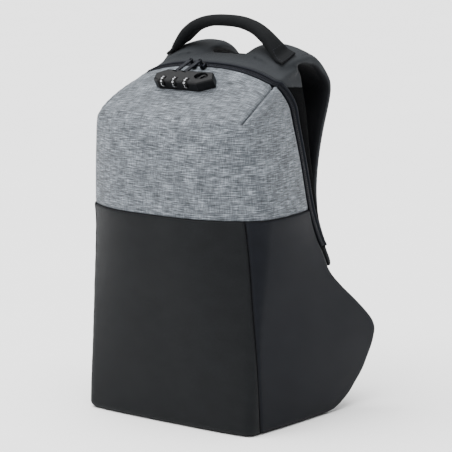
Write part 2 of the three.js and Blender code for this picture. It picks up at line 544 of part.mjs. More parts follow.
// Ladder locks at the straps' feet and the webbing from there to the wings' inner faces
const strapFoot = strapFrames.at(-1), strapBefore = strapFrames.at(-2);
const footWay = v3(strapFoot.x - strapBefore.x, strapFoot.y - strapBefore.y, strapFoot.z - strapBefore.z).normalize();
const footAcross = v3(1, 0, 0).addScaledVector(footWay, -footWay.x).normalize();
const footOut = footAcross.clone().cross(footWay);
const anchorRow = wingTip / splitHeight;
const anchorLine = halfLine(anchorRow);
const anchor = alongLine(anchorLine, anchorLine.length - webWidth * 0.9);
const anchorWay = alongLine(anchorLine, anchorLine.length).sub(anchor).normalize();
const anchorSide = v3(anchorWay.y, -anchorWay.x, 0);
for (const [side, sign] of [['right', 1], ['left', -1]]) {
  const spot = v3(strapFoot.x, strapFoot.y, strapFoot.z).addScaledVector(footOut, -strapFoot.wall / 2).addScaledVector(footWay, gap);
  const bar = (from, to, wide) => {
    const ring = (d) => bandRing(spot.clone().addScaledVector(footWay, d), footAcross, footOut, wide, buckleSize.y).map((p) => mirrored(p, sign));
    return toSolid(loft([ring(from), ring(to)]));
  };
  let buckle = bar(0, buckleSize.z, buckleSize.x);
  const cut = (from, to) => {
    const wide = webWidth + gap * 4, tall = buckleSize.y * 2;
    const corner = (d, a, b) => spot.clone().addScaledVector(footWay, d).addScaledVector(footAcross, a).addScaledVector(footOut, b);
    const ring = (d) => [corner(d, wide / 2, tall), corner(d, wide / 2, -tall), corner(d, -wide / 2, -tall), corner(d, -wide / 2, tall)].map((p) => mirrored(p, sign));
    return toSolid(loft([ring(from), ring(to)]));
  };
  buckle = buckle.subtract(cut(buckleSize.z * 0.2, buckleSize.z * 0.42)).subtract(cut(buckleSize.z * 0.58, buckleSize.z * 0.8));
  add(`ladder_lock_${side}`, toGeometry(buckle), hardPlastic);
  const start = spot.clone().addScaledVector(footWay, buckleSize.z + gap);
  const end = anchor.clone().addScaledVector(anchorSide, -(panelWall + wingPad + gap * 3 + webWall));
  const leave = start.clone().addScaledVector(footWay, 34), arrive = end.clone().addScaledVector(anchorWay, -6).add(v3(-10, -6, 26));
  const route = new THREE.CubicBezierCurve3(start, leave, arrive, end);
  const endAcross = v3(0, 0, 1).cross(anchorSide).multiplyScalar(-1);
  const rings = steps(0, 1, 10).map((t) => {
    const tangent = route.getTangent(t);
    const across = footAcross.clone().lerp(endAcross, smooth(t, 0.2, 1));
    across.addScaledVector(tangent, -across.dot(tangent)).normalize();
    return bandRing(route.getPoint(t), across, across.clone().cross(tangent), webWidth, webWall).map((p) => mirrored(p, sign));
  });
  add(`strap_webbing_${side}`, loft(rings), webbing);
}

// Top of a strap across it, at a depth near its crest
function strapTop(x, y) {
  const i = Math.max(1, strapFrames.findIndex((f) => f.y > y));
  const a = strapFrames[i - 1], b = strapFrames[i];
  const k = (y - a.y) / (b.y - a.y);
  const off = x - mix(a.x, b.x, k);
  return mix(a.z, b.z, k) - Math.sin(strapTilt) * off - strapBow * ((2 * off) / mix(a.width, b.width, k)) ** 2;
}

// Carry handle, which flattens into its sewn tabs on the straps
const tabSeat = (x) => strapTop(Math.max(x, handleSpan * 0.475), handleDepth) + gap * 1.5 + tabWall / 2;
const tabTilt = Math.atan((strapTop(0, handleDepth + handleWidth / 2) - strapTop(0, handleDepth - handleWidth / 4)) / (handleWidth * 0.75));
const handleRings = [];
const handleList = [...handleRows.slice(1).reverse().map((r) => ({ ...r, out: -r.out })), ...handleRows];
handleList.forEach((r, i) => {
  const at = (q) => v3((q.out * handleSpan) / 2 - handleLean * Math.min(q.rise, 1), handleDepth, tabSeat((Math.abs(q.out) * handleSpan) / 2) + q.rise * handleRise);
  const a = at(handleList[Math.max(i - 1, 0)]), b = at(handleList[Math.min(i + 1, handleList.length - 1)]);
  const tangent = b.sub(a).normalize();
  const tilt = tabTilt * (1 - Math.min(r.rise * 2, 1));
  const across = v3(0, Math.cos(tilt), Math.sin(tilt));
  const out = tangent.clone().cross(across).normalize();
  handleRings.push(bandRing(at(r), across, out, handleWidth, handleBand * r.band));
});
add('carry_handle', loft(handleRings), darkCloth);

// Lock on the top slope
const foldSection = section(2), topSection = section(3);
const slopeLine = topSection.middle.clone().sub(foldSection.middle).normalize();
const lock = new THREE.Group();
lock.position.copy(foldSection.middle).addScaledVector(slopeLine, lockUp).add(v3(lockAcross, -slopeLine.z * gap, slopeLine.y * gap));
lock.rotation.x = Math.atan2(slopeLine.z, slopeLine.y);
model.add(lock);

const rod = (radius, length, sides) => new THREE.CylinderGeometry(radius, radius, length, sides).rotateZ(Math.PI / 2);

const lockHalf = lockLength / 2, lockSide = lockWidth / 2;
const lockOutline = new THREE.Shape();
lockOutline.moveTo(-lockHalf + lockEnd, -lockSide);
lockOutline.lineTo(lockHalf - lockEnd * 1.8, -lockSide);
lockOutline.lineTo(lockHalf, -lockSide * 0.1);
lockOutline.lineTo(lockHalf - lockEnd * 0.7, lockSide);
lockOutline.lineTo(-lockHalf + lockEnd * 1.2, lockSide);
lockOutline.lineTo(-lockHalf, lockSide * 0.2);
lockOutline.lineTo(-lockHalf + lockEnd * 0.3, -lockSide * 0.75);
lockOutline.closePath();
const bevel = 2.4;
const lockBlock = new THREE.ExtrudeGeometry(lockOutline, { depth: lockHeight - bevel, bevelEnabled: true, bevelThickness: bevel, bevelSize: bevel, bevelOffset: -bevel, bevelSegments: 2 });
let lockSolid = toSolid(lockBlock);
const flatCut = new THREE.BoxGeometry(lockLength * 1.2, lockWidth * 1.2, bevel * 2).translate(0, 0, -bevel);
lockSolid = lockSolid.subtract(toSolid(flatCut));
const dialY = -lockSide + dialRadius - dialProud, dialZ = lockHeight - dialRadius + dialProud * 0.6;
const dialPlaces = Array.from({ length: dialCount }, (_, i) => dialOffset + (i - (dialCount - 1) / 2) * dialPitch);
for (const x of dialPlaces)
  lockSolid = lockSolid.subtract(toSolid(rod(dialRadius + gap, dialWidth + gap * 2, 24).translate(x, dialY, dialZ)));
const axleLength = dialPitch * (dialCount - 1) + dialWidth + 10;
lockSolid = lockSolid.subtract(toSolid(rod(axleRadius + gap * 0.8, axleLength + gap * 2, 10).translate(dialOffset, dialY, dialZ)));
const recess = new THREE.CylinderGeometry(recessLength / 2, recessLength / 2 - 2, recessDepth * 2, 24).rotateX(Math.PI / 2).scale(1, recessWidth / recessLength, 1);
lockSolid = lockSolid.subtract(toSolid(recess.translate(recessAcross, lockSide * 0.18, lockHeight)));
for (const x of pullAcross)
  lockSolid = lockSolid.subtract(toSolid(new THREE.BoxGeometry(pullWidth + gap * 6, lockSide, pullWall * 2 + gap * 4).rotateZ(-pullLean).translate(x, lockSide + 1, lockHeight)));
add('lock_body', toGeometry(lockSolid), hardPlastic, lock);

dialPlaces.forEach((x, i) => {
  const wheel = toSolid(rod(dialRadius, dialWidth, 20)).subtract(toSolid(rod(axleRadius + gap * 0.8, dialWidth * 2, 10)));
  add(`lock_dial_${i + 1}`, toGeometry(wheel), dialPlastic, lock).position.set(x, dialY, dialZ);
});
add('dial_axle', rod(axleRadius, axleLength, 10), zipMetal, lock).position.set(dialOffset, dialY, dialZ);

const button = new THREE.CylinderGeometry(buttonRadius, buttonRadius, recessDepth * 0.5, 20).rotateX(Math.PI / 2);
const ridge = new THREE.BoxGeometry(buttonRidge, buttonRadius * 1.5, recessDepth * 0.45).rotateZ(-0.7).translate(0, 0, recessDepth * 0.4);
add('release_button', toGeometry(toSolid(button).add(toSolid(ridge))), hardPlastic, lock)
  .position.set(recessAcross + buttonTravel / 2, lockSide * 0.18, lockHeight - recessDepth * 0.75 + gap);

// Zip sliders on the tape with their flat pulls lying into the lock
pullAcross.forEach((x, i) => {
  const lean = pullLean;
  const tail = v3(x, lockSide - 3, lockHeight - pullWall / 2 + gap * 0.2);
  const pullShape = new THREE.Shape();
  const half = pullWidth / 2;
  pullShape.moveTo(-half, 0);
  pullShape.lineTo(half, 0);
  pullShape.lineTo(half, pullLength - half);
  pullShape.absarc(0, pullLength - half, half, 0, Math.PI, false);
  pullShape.closePath();
  const eye = new THREE.Path();
  eye.absarc(0, pullLength - half, half * 0.62, 0, Math.PI * 2, true);
  pullShape.holes.push(eye);
  const bar = new THREE.ExtrudeGeometry(pullShape, { depth: pullWall, bevelEnabled: false, curveSegments: 6 }).translate(0, 0, -pullWall / 2);
  const pull = add(`zip_pull_${i + 1}`, bar, zipMetal, lock);
  pull.position.copy(tail);
  pull.rotation.z = -lean;
});

// Sliders astride the zipper, under the eyes of the pulls
pullAcross.forEach((x, i) => {
  const reach = pullLength - pullWidth / 2;
  const at = v3(x + Math.sin(pullLean) * reach, lockSide - 3 + Math.cos(pullLean) * reach, 0);
  const top = lockHeight - pullWall - gap * 0.6;
  const body = new THREE.BoxGeometry(sliderWidth, sliderLength, sliderHeight).translate(0, sliderLength * 0.2, top - sliderHeight / 2);
  const lug = new THREE.CylinderGeometry(pullWidth * 0.2, pullWidth * 0.2, pullWall * 2.2, 10).rotateX(Math.PI / 2).translate(0, 0, lockHeight - pullWall * 0.6);
  const slider = toSolid(body).add(toSolid(lug));
  add(`zip_slider_${i + 1}`, toGeometry(slider), zipMetal, lock).position.copy(at);
});

const frame = new THREE.Box3().setFromObject(model);
model.position.set(-(frame.min.x + frame.max.x) / 2, -(frame.min.y + frame.max.y) / 2, -frame.min.z);

export default model;
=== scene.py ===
import math
import bmesh
import bpy
import numpy as np
from mathutils import Matrix, Vector, noise


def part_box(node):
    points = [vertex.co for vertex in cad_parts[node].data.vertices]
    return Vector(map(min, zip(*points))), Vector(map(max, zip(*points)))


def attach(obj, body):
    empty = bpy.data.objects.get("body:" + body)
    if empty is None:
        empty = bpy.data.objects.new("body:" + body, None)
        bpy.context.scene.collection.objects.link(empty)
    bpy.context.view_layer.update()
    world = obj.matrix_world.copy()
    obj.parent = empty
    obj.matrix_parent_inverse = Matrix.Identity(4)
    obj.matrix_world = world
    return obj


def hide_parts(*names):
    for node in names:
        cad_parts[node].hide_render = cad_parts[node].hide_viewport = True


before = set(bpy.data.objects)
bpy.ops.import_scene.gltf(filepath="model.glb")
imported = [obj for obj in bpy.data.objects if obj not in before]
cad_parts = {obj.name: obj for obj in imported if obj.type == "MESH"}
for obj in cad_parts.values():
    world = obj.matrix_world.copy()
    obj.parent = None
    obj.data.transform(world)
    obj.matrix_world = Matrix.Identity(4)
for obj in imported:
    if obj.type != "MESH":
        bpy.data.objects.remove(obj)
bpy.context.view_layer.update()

# Lengths are in millimetres from the front corner line until toMetres turns them into the frame.
shell = {
    "height": 410, "frontWidth": 238, "depth": 150, "split": 248, "fold": 356, "slopeDepth": 78,
    "cornerDrop": 17, "cornerInset": 19, "wingReach": 89, "wingTip": 89, "wingTop": 172, "wingFlare": 18,
    "slopeSwell": 4.5, "rimEase": 1.5, "edgeRound": 7, "wall": 3.4, "wingPad": 4, "gap": 0.4,
    "seamShift": 18.088, "pillowPower": 3, "dropPower": 2.4,
}
# height, half, set, pillow, swell, round
frontRows = [
    (0, 1.02, 0.035, 0.03, 0.1, 10),
    (124, 1.03, 0.095, 0.13, 0.15, 12),
    (248, 1.045, 0.165, 0.28, 0.3, 14),
    (302, 1.005, 0.13, 0.24, 0.3, 13),
    (356, 0.895, 0.04, 0.08, 0.2, 8),
]
# tip, top, high, flare, back, wing
rimRows = [
    (0, 0, 0, 0.5, 1, 0.03), (0.045, 0, 0, 0.55, 1, 0.18), (0.1, 0, 0, 0.6, 1, 0.3),
    (0.2, 0, 0, 0.7, 1, 0.455), (0.34, 0, 0, 0.78, 1, 0.6), (0.48, 0, 0, 0.87, 1, 0.735),
    (0.64, 0, 0, 0.93, 1, 0.84), (0.8, 0, 0, 0.98, 1, 0.935), (0.92, 0, 0, 1, 1, 0.98),
    (1, 0, 0, 1, 1, 1), (1, 0.13, 0, 0.95, 1, 0.96), (1, 0.31, 0, 0.86, 1, 0.8),
    (1, 0.53, 0, 0.72, 1, 0.56), (1, 0.75, 0, 0.6, 1, 0.3), (1, 1, 0, 0.48, 1, 0.06),
    (1, 1, 0.08, 0.34, 0.985, 0), (1, 1, 0.18, 0.17, 0.91, 0), (1, 1, 0.285, 0.05, 0.845, 0),
    (1, 1, 0.36, -0.06, 0.815, 0), (1, 1, 0.5, -0.22, 0.78, 0), (1, 1, 0.64, -0.4, 0.75, 0),
    (1, 1, 0.79, -0.61, 0.71, 0), (1, 1, 0.89, -0.78, 0.68, 0), (1, 1, 0.96, -0.96, 0.61, 0),
    (1, 1, 1, -1.056, 0.545, 0),
]
halfFront = shell["frontWidth"] / 2
topHalf = halfFront - shell["cornerInset"]
topCorner = shell["height"] - shell["cornerDrop"]
frontPlaces = [r[0] for r in frontRows]
rimPlaces = [r[0] * shell["wingTip"] + r[1] * (shell["wingTop"] - shell["wingTip"])
             + r[2] * (topCorner - shell["wingTop"]) for r in rimRows]
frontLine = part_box("side_panel_right")[1].y * 1000 - (shell["depth"] + shell["wingReach"])


def mix(a, b, k):
    return a + (b - a) * k


def ease(x, low, high):
    k = min(max((x - low) / (high - low), 0), 1)
    return k * k * (3 - 2 * k)


def softStep(k):
    k = np.clip(k, 0, 1)
    return k * k * (3 - 2 * k)


def toMetres(points):
    return (np.asarray(points, float) + [0, frontLine, 0]) / 1000


def toMillimetres(points):
    return np.asarray(points, float) * 1000 - [0, frontLine, 0]


# Smooth value through a table without overshoot
def column(places, values, t):
    n = len(places)
    i = 0
    while i < n - 2 and t > places[i + 1]:
        i += 1
    slope = lambda p, q: (values[q] - values[p]) / (places[q] - places[p]) if places[q] > places[p] else 0
    span = places[i + 1] - places[i]
    k = min(max((t - places[i]) / span, 0), 1)
    s = slope(i, i + 1)
    hold = lambda w: 0 if w * s <= 0 else math.copysign(min(abs(w), 3 * abs(s)), s)
    m0 = hold((slope(i - 1, i) + s) / 2) if i > 0 else s
    m1 = hold((s + slope(i + 1, i + 2)) / 2) if i < n - 2 else s
    k2, k3 = k * k, k * k * k
    return ((2 * k3 - 3 * k2 + 1) * values[i] + (k3 - 2 * k2 + k) * span * m0
            + (3 * k2 - 2 * k3) * values[i + 1] + (k3 - k2) * span * m1)


def rimAt(z):
    at = lambda c: column(rimPlaces, [r[c] for r in rimRows], z)
    return np.array([halfFront + at(3) * shell["wingFlare"],
                     at(4) * shell["depth"] + at(5) * shell["wingReach"], z])


# One section of the shell: rows 0 to 1 lower cloth, 1 to 2 upper cloth, 2 to 3 the top slope
def section(row):
    t = max(row - 2, 0)
    z = max(row, 0) * shell["split"] if row < 1 else mix(shell["split"], shell["fold"], min(row - 1, 1))
    at = lambda c: column(frontPlaces, [r[c] for r in frontRows], z)
    e = shell["edgeRound"]
    inset = e - math.sqrt(e * e - (e - z) ** 2) if z < e else 0
    corner = np.array([at(1) * halfFront - inset, at(2) * shell["depth"] + inset, z])
    middle = np.array([0, corner[1] - at(3) * shell["depth"], z])
    rim = rimAt(z)
    rim[0] -= inset
    rounding, swell = at(5), at(4) * shell["wingFlare"]
    if t > 0:
        middle = mix(middle, np.array([0, shell["slopeDepth"], shell["height"]]), t)
        corner = mix(corner, np.array([topHalf, shell["slopeDepth"], topCorner]), t)
        corner = corner + np.array([0.8, -0.2, 0.55]) * shell["slopeSwell"] * 4 * t * (1 - t)
        rim = rimAt(mix(shell["fold"], topCorner, t))
        rim[1] += shell["rimEase"] * t
        rounding, swell = mix(rounding, 3, t), swell * (1 - t)
    return middle, corner, rim, rounding, swell


lineCache = {}


# Half a section as a dense line from the middle plane round the corner to the rear edge
def halfLine(row):
    key = round(row, 6)
    if key in lineCache:
        return lineCache[key]
    middle, corner, rim, rounding, swell = section(row)

    def front(k):
        return np.array([corner[0] * k, mix(middle[1], corner[1], k ** shell["pillowPower"]),
                         mix(middle[2], corner[2], k ** shell["dropPower"])])

    def side(k):
        return mix(corner, rim, k) + np.array([swell * 4 * k * (1 - k), 0, 0])

    a = 1 - rounding / np.linalg.norm(corner - middle)
    b = min(rounding / np.linalg.norm(corner - rim), 0.5)
    start, tip, end = front(a), front(1), side(b)
    points = [front(a * i / 60) for i in range(61)]
    for i in range(1, 14):
        k = i / 14
        points.append((1 - k) ** 2 * start + 2 * k * (1 - k) * tip + k * k * end)
    points += [side(mix(b, 1, i / 48)) for i in range(49)]
    points = np.array(points)
    marks = np.concatenate([[0], np.cumsum(np.linalg.norm(np.diff(points, axis=0), axis=1))])
    lineCache[key] = {"points": points, "marks": marks, "length": marks[-1],
                      "corner": (marks[60] + marks[74]) / 2}
    return lineCache[key]


def alongLine(line, s):
    d = np.minimum(np.abs(s), line["length"])
    out = np.stack([np.interp(d, line["marks"], line["points"][:, c]) for c in range(3)], axis=-1)
    out[..., 0] *= np.where(np.asarray(s) < 0, -1, 1)
    return out


def seamAt(row):
    return halfLine(row)["corner"] + mix(shell["seamShift"], -shell["seamShift"], row)


# Spots between two ends, closer together near the first end or near both
def spots(a, b, count, firstOnly=False):
    k = np.linspace(0, 1, count + 1)
    if firstOnly:
        k = 1 - np.sin((1 - k) * np.pi / 2) * 0.85 - 0.15 * (1 - k)
    else:
        k = k - 0.85 * np.sin(2 * np.pi * k) / (2 * np.pi)
    return a + (b - a) * k


def normalsOf(grid, inside):
    du = np.gradient(grid, axis=0)
    dv = np.gradient(grid, axis=1)
    n = np.cross(du, dv)
    n /= np.maximum(np.linalg.norm(n, axis=-1, keepdims=True), 1e-9)
    flip = np.sum(n * (np.asarray(inside) - grid), axis=-1, keepdims=True) > 0
    return np.where(flip, -n, n)


def ripple(grid, size, seed):
    shape = grid.shape[:2]
    out = np.zeros(shape)
    for i in range(shape[0]):
        for j in range(shape[1]):
            p = grid[i, j] / size
            out[i, j] = noise.noise(Vector((p[0] + seed, p[1], p[2])))
    return out


def newObject(name, mesh):
    piece = bpy.data.objects.new(name, mesh)
    bpy.context.scene.collection.objects.link(piece)
    return piece


def smooth(mesh):
    mesh.polygons.foreach_set("use_smooth", [True] * len(mesh.polygons))


# Mesh from points in millimetres, with its faces still as they are given
def rawMesh(name, points, faces):
    mesh = bpy.data.meshes.new(name)
    mesh.from_pydata(toMetres(points).tolist(), [], faces)
    return mesh


def faceOut(mesh):
    work = bmesh.new()
    work.from_mesh(mesh)
    bmesh.ops.recalc_face_normals(work, faces=work.faces)
    work.to_mesh(mesh)
    work.free()
    return mesh


# Painted shade at each point of the cloth, from 0 to 1, kept in the seam attribute
def markSeams(mesh, values):
    shade = mesh.attributes.new("seam", "FLOAT", "POINT")
    shade.data.foreach_set("value", np.asarray(values).astype(np.float32))


# Closed slab from an outer grid and its inner grid; flat gives each grid point's place on the cut cloth and
# the mark its painted shade
def slab(name, outer, inner, flat=None, shadeMark=None, roundEdge=True):
    nu, nv = outer.shape[:2]
    points = np.concatenate([outer.reshape(-1, 3), inner.reshape(-1, 3)])
    at = lambda layer, i, j: (layer * nu + i) * nv + j
    faces = []
    for i in range(nu - 1):
        for j in range(nv - 1):
            faces.append((at(0, i, j), at(0, i + 1, j), at(0, i + 1, j + 1), at(0, i, j + 1)))
            faces.append((at(1, i, j), at(1, i, j + 1), at(1, i + 1, j + 1), at(1, i + 1, j)))
        faces.append((at(0, i, 0), at(1, i, 0), at(1, i + 1, 0), at(0, i + 1, 0)))
        faces.append((at(0, i, nv - 1), at(0, i + 1, nv - 1), at(1, i + 1, nv - 1), at(1, i, nv - 1)))
    for j in range(nv - 1):
        faces.append((at(0, 0, j), at(0, 0, j + 1), at(1, 0, j + 1), at(1, 0, j)))
        faces.append((at(0, nu - 1, j), at(1, nu - 1, j), at(1, nu - 1, j + 1), at(0, nu - 1, j + 1)))
    mesh = rawMesh(name, points, faces)
    uv = mesh.uv_layers.new(name="cloth")
    flat = np.zeros((nu, nv, 2)) if flat is None else flat
    flatAll = np.concatenate([flat.reshape(-1, 2), flat.reshape(-1, 2)]) / 100
    loops = np.zeros(len(mesh.loops), int)
    mesh.loops.foreach_get("vertex_index", loops)
    uv.data.foreach_set("uv", flatAll[loops].ravel())
    if shadeMark is not None:
        markSeams(mesh, np.concatenate([shadeMark.ravel(), shadeMark.ravel()]))
    faceOut(mesh)
    smooth(mesh)
    piece = newObject(name, mesh)
    if roundEdge:
        soften = piece.modifiers.new("rounding", "SUBSURF")
        soften.levels = soften.render_levels = 1
    return piece


# Solid through closed rings of equal count
def loft(name, rings):
    rings = np.array(rings)
    count, n = rings.shape[:2]
    faces = []
    for i in range(count - 1):
        for j in range(n):
            a, b = i * n + j, i * n + (j + 1) % n
            faces.append((a, b, b + n, a + n))
    faces.append(tuple(range(n))[::-1])
    faces.append(tuple(range((count - 1) * n, count * n)))
    mesh = rawMesh(name, rings.reshape(-1, 3), faces)
    along = np.concatenate([[0], np.cumsum(np.linalg.norm(np.diff(rings.mean(axis=1), axis=0), axis=1))])
    around = np.concatenate([[0], np.cumsum(np.linalg.norm(np.diff(rings[count // 2], axis=0), axis=1))])
    uv = mesh.uv_layers.new(name="cloth")
    values = []
    for face in mesh.polygons:
        js = [v % n for v in face.vertices]
        wraps = len(js) == 4 and max(js) - min(js) == n - 1
        for v in face.vertices:
            turn = around[-1] + around[1] if wraps and v % n == 0 else around[v % n]
            values += [turn / 100, along[v // n] / 100]
    uv.data.foreach_set("uv", values)
    faceOut(mesh)
    smooth(mesh)
    return newObject(name, mesh)


# Band section with rounded edges; bow drops its sides, crown swells its faces
def bandRing(centre, across, out, width, wall, bow=0, crown=0, faceCount=10, endCount=8, innerDrop=0):
    r = wall / 2
    flat = []
    for side in (1, -1):
        for k in range(endCount + 1):
            a = (k / endCount - 0.5) * math.pi
            flat.append((side * (width / 2 - r + r * math.cos(a)), side * r * math.sin(a)))
        for k in range(1, faceCount):
            x = (width / 2 - r) * (1 - 2 * k / faceCount)
            flat.append((side * x, side * r))
    ring = []
    for x, y in flat:
        s = 2 * x / width
        high = y * (1 + crown * (1 - s * s)) - bow * s * s - innerDrop * max(-s, 0) ** 2
        ring.append(centre + across * x + out * high)
    return ring


def unit(v):
    v = np.asarray(v, float)
    return v / max(np.linalg.norm(v), 1e-9)


def addFinish(piece, material, body="bag", nodes=()):
    piece.data.materials.clear()
    piece.data.materials.append(material)
    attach(piece, body)
    if nodes:
        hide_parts(*nodes)
    return piece


# Materials
def startMaterial(name, roughness, **shaderValues):
    material = bpy.data.materials.new(name)
    material.use_nodes = True
    nodes, links = material.node_tree.nodes, material.node_tree.links
    shader = nodes["Principled BSDF"]
    shader.inputs["Roughness"].default_value = roughness
    for key, value in shaderValues.items():
        shader.inputs[key.replace("_", " ")].default_value = value

    def add(kind, inputs=None, **settings):
        node = nodes.new(kind)
        for key, value in settings.items():
            setattr(node, key, value)
        for key, value in (inputs or {}).items():
            if isinstance(value, bpy.types.NodeSocket):
                links.new(value, node.inputs[key])
            else:
                node.inputs[key].default_value = value
        return node

    return material, shader, add, links


def maths(add, kind, a, b=0.0):
    return add("ShaderNodeMath", {0: a, 1: b}, operation=kind).outputs[0]


def ramp(add, value, stops):
    node = add("ShaderNodeValToRGB", {"Fac": value})
    elements = node.color_ramp.elements
    while len(elements) < len(stops):
        elements.new(0.5)
    for element, (place, colour) in zip(elements, stops):
        element.position = place
        element.color = (*colour, 1)
    return node.outputs["Color"]


def scaled(add, vector, amount):
    return add("ShaderNodeVectorMath", {0: vector, 1: amount}, operation="MULTIPLY").outputs[0]


def grain(add, vector, scale, detail=2.0, rough=0.55):
    return add("ShaderNodeTexNoise", {"Vector": vector, "Scale": scale, "Detail": detail,
                                      "Roughness": rough}).outputs["Fac"]


# Over-and-under threads at a pitch in millimetres
def weave(add, vector, pitch):
    parts = add("ShaderNodeSeparateXYZ", {0: vector})
    turns = 2 * math.pi * 100 / pitch
    waves = [maths(add, "SINE", maths(add, "MULTIPLY", parts.outputs[i], turns)) for i in (0, 1)]
    return maths(add, "MULTIPLY", waves[0], waves[1])


def clothMaterial(name, look):
    material, shader, add, links = startMaterial(name, look["roughness"], Sheen_Weight=look["sheen"],
                                                 Sheen_Roughness=0.45, Specular_IOR_Level=look["gloss"])
    place = add("ShaderNodeTexCoord").outputs["UV" if look["flat"] else "Object"]
    if not look["flat"]:
        place = scaled(add, place, (10, 10, 10))
    streak = grain(add, scaled(add, place, look["streak"]), 1.0, 3.0, 0.6)
    cross = grain(add, scaled(add, place, look["cross"]), 1.0, 3.0, 0.6)
    cloud = grain(add, scaled(add, place, (4, 6, 4)), 1.0, 2.0)
    threads = weave(add, place, look["pitch"])
    value = maths(add, "ADD", maths(add, "MULTIPLY", streak, look["streakShare"]),
                  maths(add, "MULTIPLY", cross, look["crossShare"]))
    value = maths(add, "ADD", value, maths(add, "MULTIPLY", cloud, look["cloudShare"]))
    value = maths(add, "ADD", value, maths(add, "MULTIPLY", threads, look["threadShare"]))
    colour = ramp(add, value, look["stops"])
    # The seam attribute blends the cloth towards its seam colour: painted shade in seams, grooves and hollows
    seam = add("ShaderNodeAttribute", attribute_name="seam").outputs["Fac"]
    blend = add("ShaderNodeMixRGB", {"Fac": seam, "Color1": colour, "Color2": (*look["seamShadeColour"], 1)})
    links.new(blend.outputs[0], shader.inputs["Base Color"])
    height = maths(add, "ADD", maths(add, "MULTIPLY", threads, 0.5),
                   maths(add, "MULTIPLY", streak, look["slub"]))
    bump = add("ShaderNodeBump", {"Height": height, "Distance": look["relief"] / 1000, "Strength": 0.6})
    links.new(bump.outputs[0], shader.inputs["Normal"])
    return material


def grey(level, tint=(1, 1, 1)):
    return tuple(level * c for c in tint)


coolTint = (0.90, 1.0, 1.12)
# Each look's seam colour is the colour of its painted shade
heatherLook = {
    "flat": True, "roughness": 0.9, "sheen": 0.1, "gloss": 0.15, "pitch": 1.1,
    "streak": (7, 92, 1), "cross": (98, 9, 1), "streakShare": 0.6, "crossShare": 0.26, "cloudShare": 0.14,
    "threadShare": 0.02, "slub": 1.4, "relief": 0.4, "seamShadeColour": (0.03, 0.032, 0.036),
    "stops": [(0.38, grey(0.03, coolTint)), (0.46, grey(0.082, coolTint)), (0.53, grey(0.14, coolTint)),
              (0.62, grey(0.34, coolTint))],
}
darkLook = {
    "flat": True, "roughness": 0.55, "sheen": 0.015, "gloss": 0.08, "pitch": 0.8,
    "streak": (30, 60, 1), "cross": (60, 30, 1), "streakShare": 0.3, "crossShare": 0.3, "cloudShare": 0.4,
    "threadShare": 0.05, "slub": 0.3, "relief": 0.16, "seamShadeColour": (0.004, 0.004, 0.005),
    "stops": [(0.3, grey(0.0055, coolTint)), (0.7, grey(0.0095, coolTint))],
}
sideLook = {**darkLook, "stops": [(0.3, (0.0034, 0.0041, 0.006)), (0.7, (0.006, 0.007, 0.0098))]}
# The dark cloth drawn lighter for the yoke and straps: painted light of the yoke's upward face
litYokeLook = {
    **darkLook, "flat": False, "roughness": 0.6, "sheen": 0.03, "pitch": 1.0,
    "streak": (60, 60, 90), "cross": (90, 60, 60), "relief": 0.22,
    "stops": [(0.3, grey(0.018, coolTint)), (0.7, grey(0.028, coolTint))],
    "seamShadeColour": (0.0018, 0.002, 0.003),
}
handleLook = {**darkLook, "roughness": 0.75, "pitch": 1.5, "threadShare": 0.16, "relief": 0.4,
              "stops": [(0.3, grey(0.004, coolTint)), (0.7, grey(0.008, coolTint))]}
meshLook = {**darkLook, "roughness": 0.95, "sheen": 0.0, "gloss": 0.04, "pitch": 2.4, "threadShare": 0.3,
            "relief": 1.2, "slub": 0.1,
            "stops": [(0.3, grey(0.004, coolTint)), (0.75, grey(0.017, coolTint))]}
# The mesh cloth drawn darker for the gussets: painted shade of the gussets lying under the straps
shadedGussetLook = {**meshLook, "stops": [(0.3, grey(0.0014, coolTint)), (0.75, grey(0.0045, coolTint))]}
tapeLook = {**darkLook, "roughness": 0.7, "pitch": 1.0, "threadShare": 0.12,
            "stops": [(0.3, (0.0022, 0.0026, 0.0042)), (0.7, (0.0045, 0.005, 0.0078))]}
pipingLook = {**darkLook, "roughness": 0.5,
              "stops": [(0.3, (0.005, 0.0057, 0.0085)), (0.7, (0.009, 0.0105, 0.015))]}
webLook = {**darkLook, "roughness": 0.6, "pitch": 1.6, "threadShare": 0.3, "relief": 0.6,
           "stops": [(0.3, grey(0.004)), (0.7, grey(0.011))]}


def hardMaterial(name, look):
    material, shader, add, links = startMaterial(name, look["roughness"], Metallic=look["metal"],
                                                 Specular_IOR_Level=look.get("gloss", 0.14))
    place = add("ShaderNodeTexCoord").outputs["Object"]
    fine = grain(add, place, look["grainScale"], 3.0)
    broad = grain(add, place, 60.0, 2.0)
    mixed = maths(add, "ADD", maths(add, "MULTIPLY", fine, 0.5), maths(add, "MULTIPLY", broad, 0.5))
    colour = ramp(add, mixed, [(0.35, look["low"]), (0.65, look["high"])])
    links.new(colour, shader.inputs["Base Color"])
    rub = add("ShaderNodeMapRange", {"Value": broad, "To Min": look["roughness"] * 0.8,
                                     "To Max": look["roughness"] * 1.25})
    links.new(rub.outputs[0], shader.inputs["Roughness"])
    bump = add("ShaderNodeBump", {"Height": fine, "Distance": look["relief"] / 1000, "Strength": 0.5})
    links.new(bump.outputs[0], shader.inputs["Normal"])
    return material


lockLook = {"roughness": 0.42, "metal": 0, "grainScale": 2600, "relief": 0.05,
            "low": (0.0022, 0.0025, 0.003), "high": (0.0045, 0.005, 0.006)}
dialLook = {**lockLook, "roughness": 0.42, "low": (0.0015, 0.0016, 0.0018), "high": (0.003, 0.0033, 0.0036)}
metalLook = {"roughness": 0.26, "metal": 0.9, "gloss": 0.3, "grainScale": 1800, "relief": 0.02,
             "low": (0.008, 0.009, 0.012), "high": (0.016, 0.018, 0.024)}
numeralLook = {**lockLook, "roughness": 0.5, "low": (0.62, 0.64, 0.67), "high": (0.8, 0.82, 0.85)}
threadLook = {**lockLook, "roughness": 0.7, "relief": 0.1, "grainScale": 4000,
              "low": (0.012, 0.013, 0.016), "high": (0.03, 0.032, 0.038)}

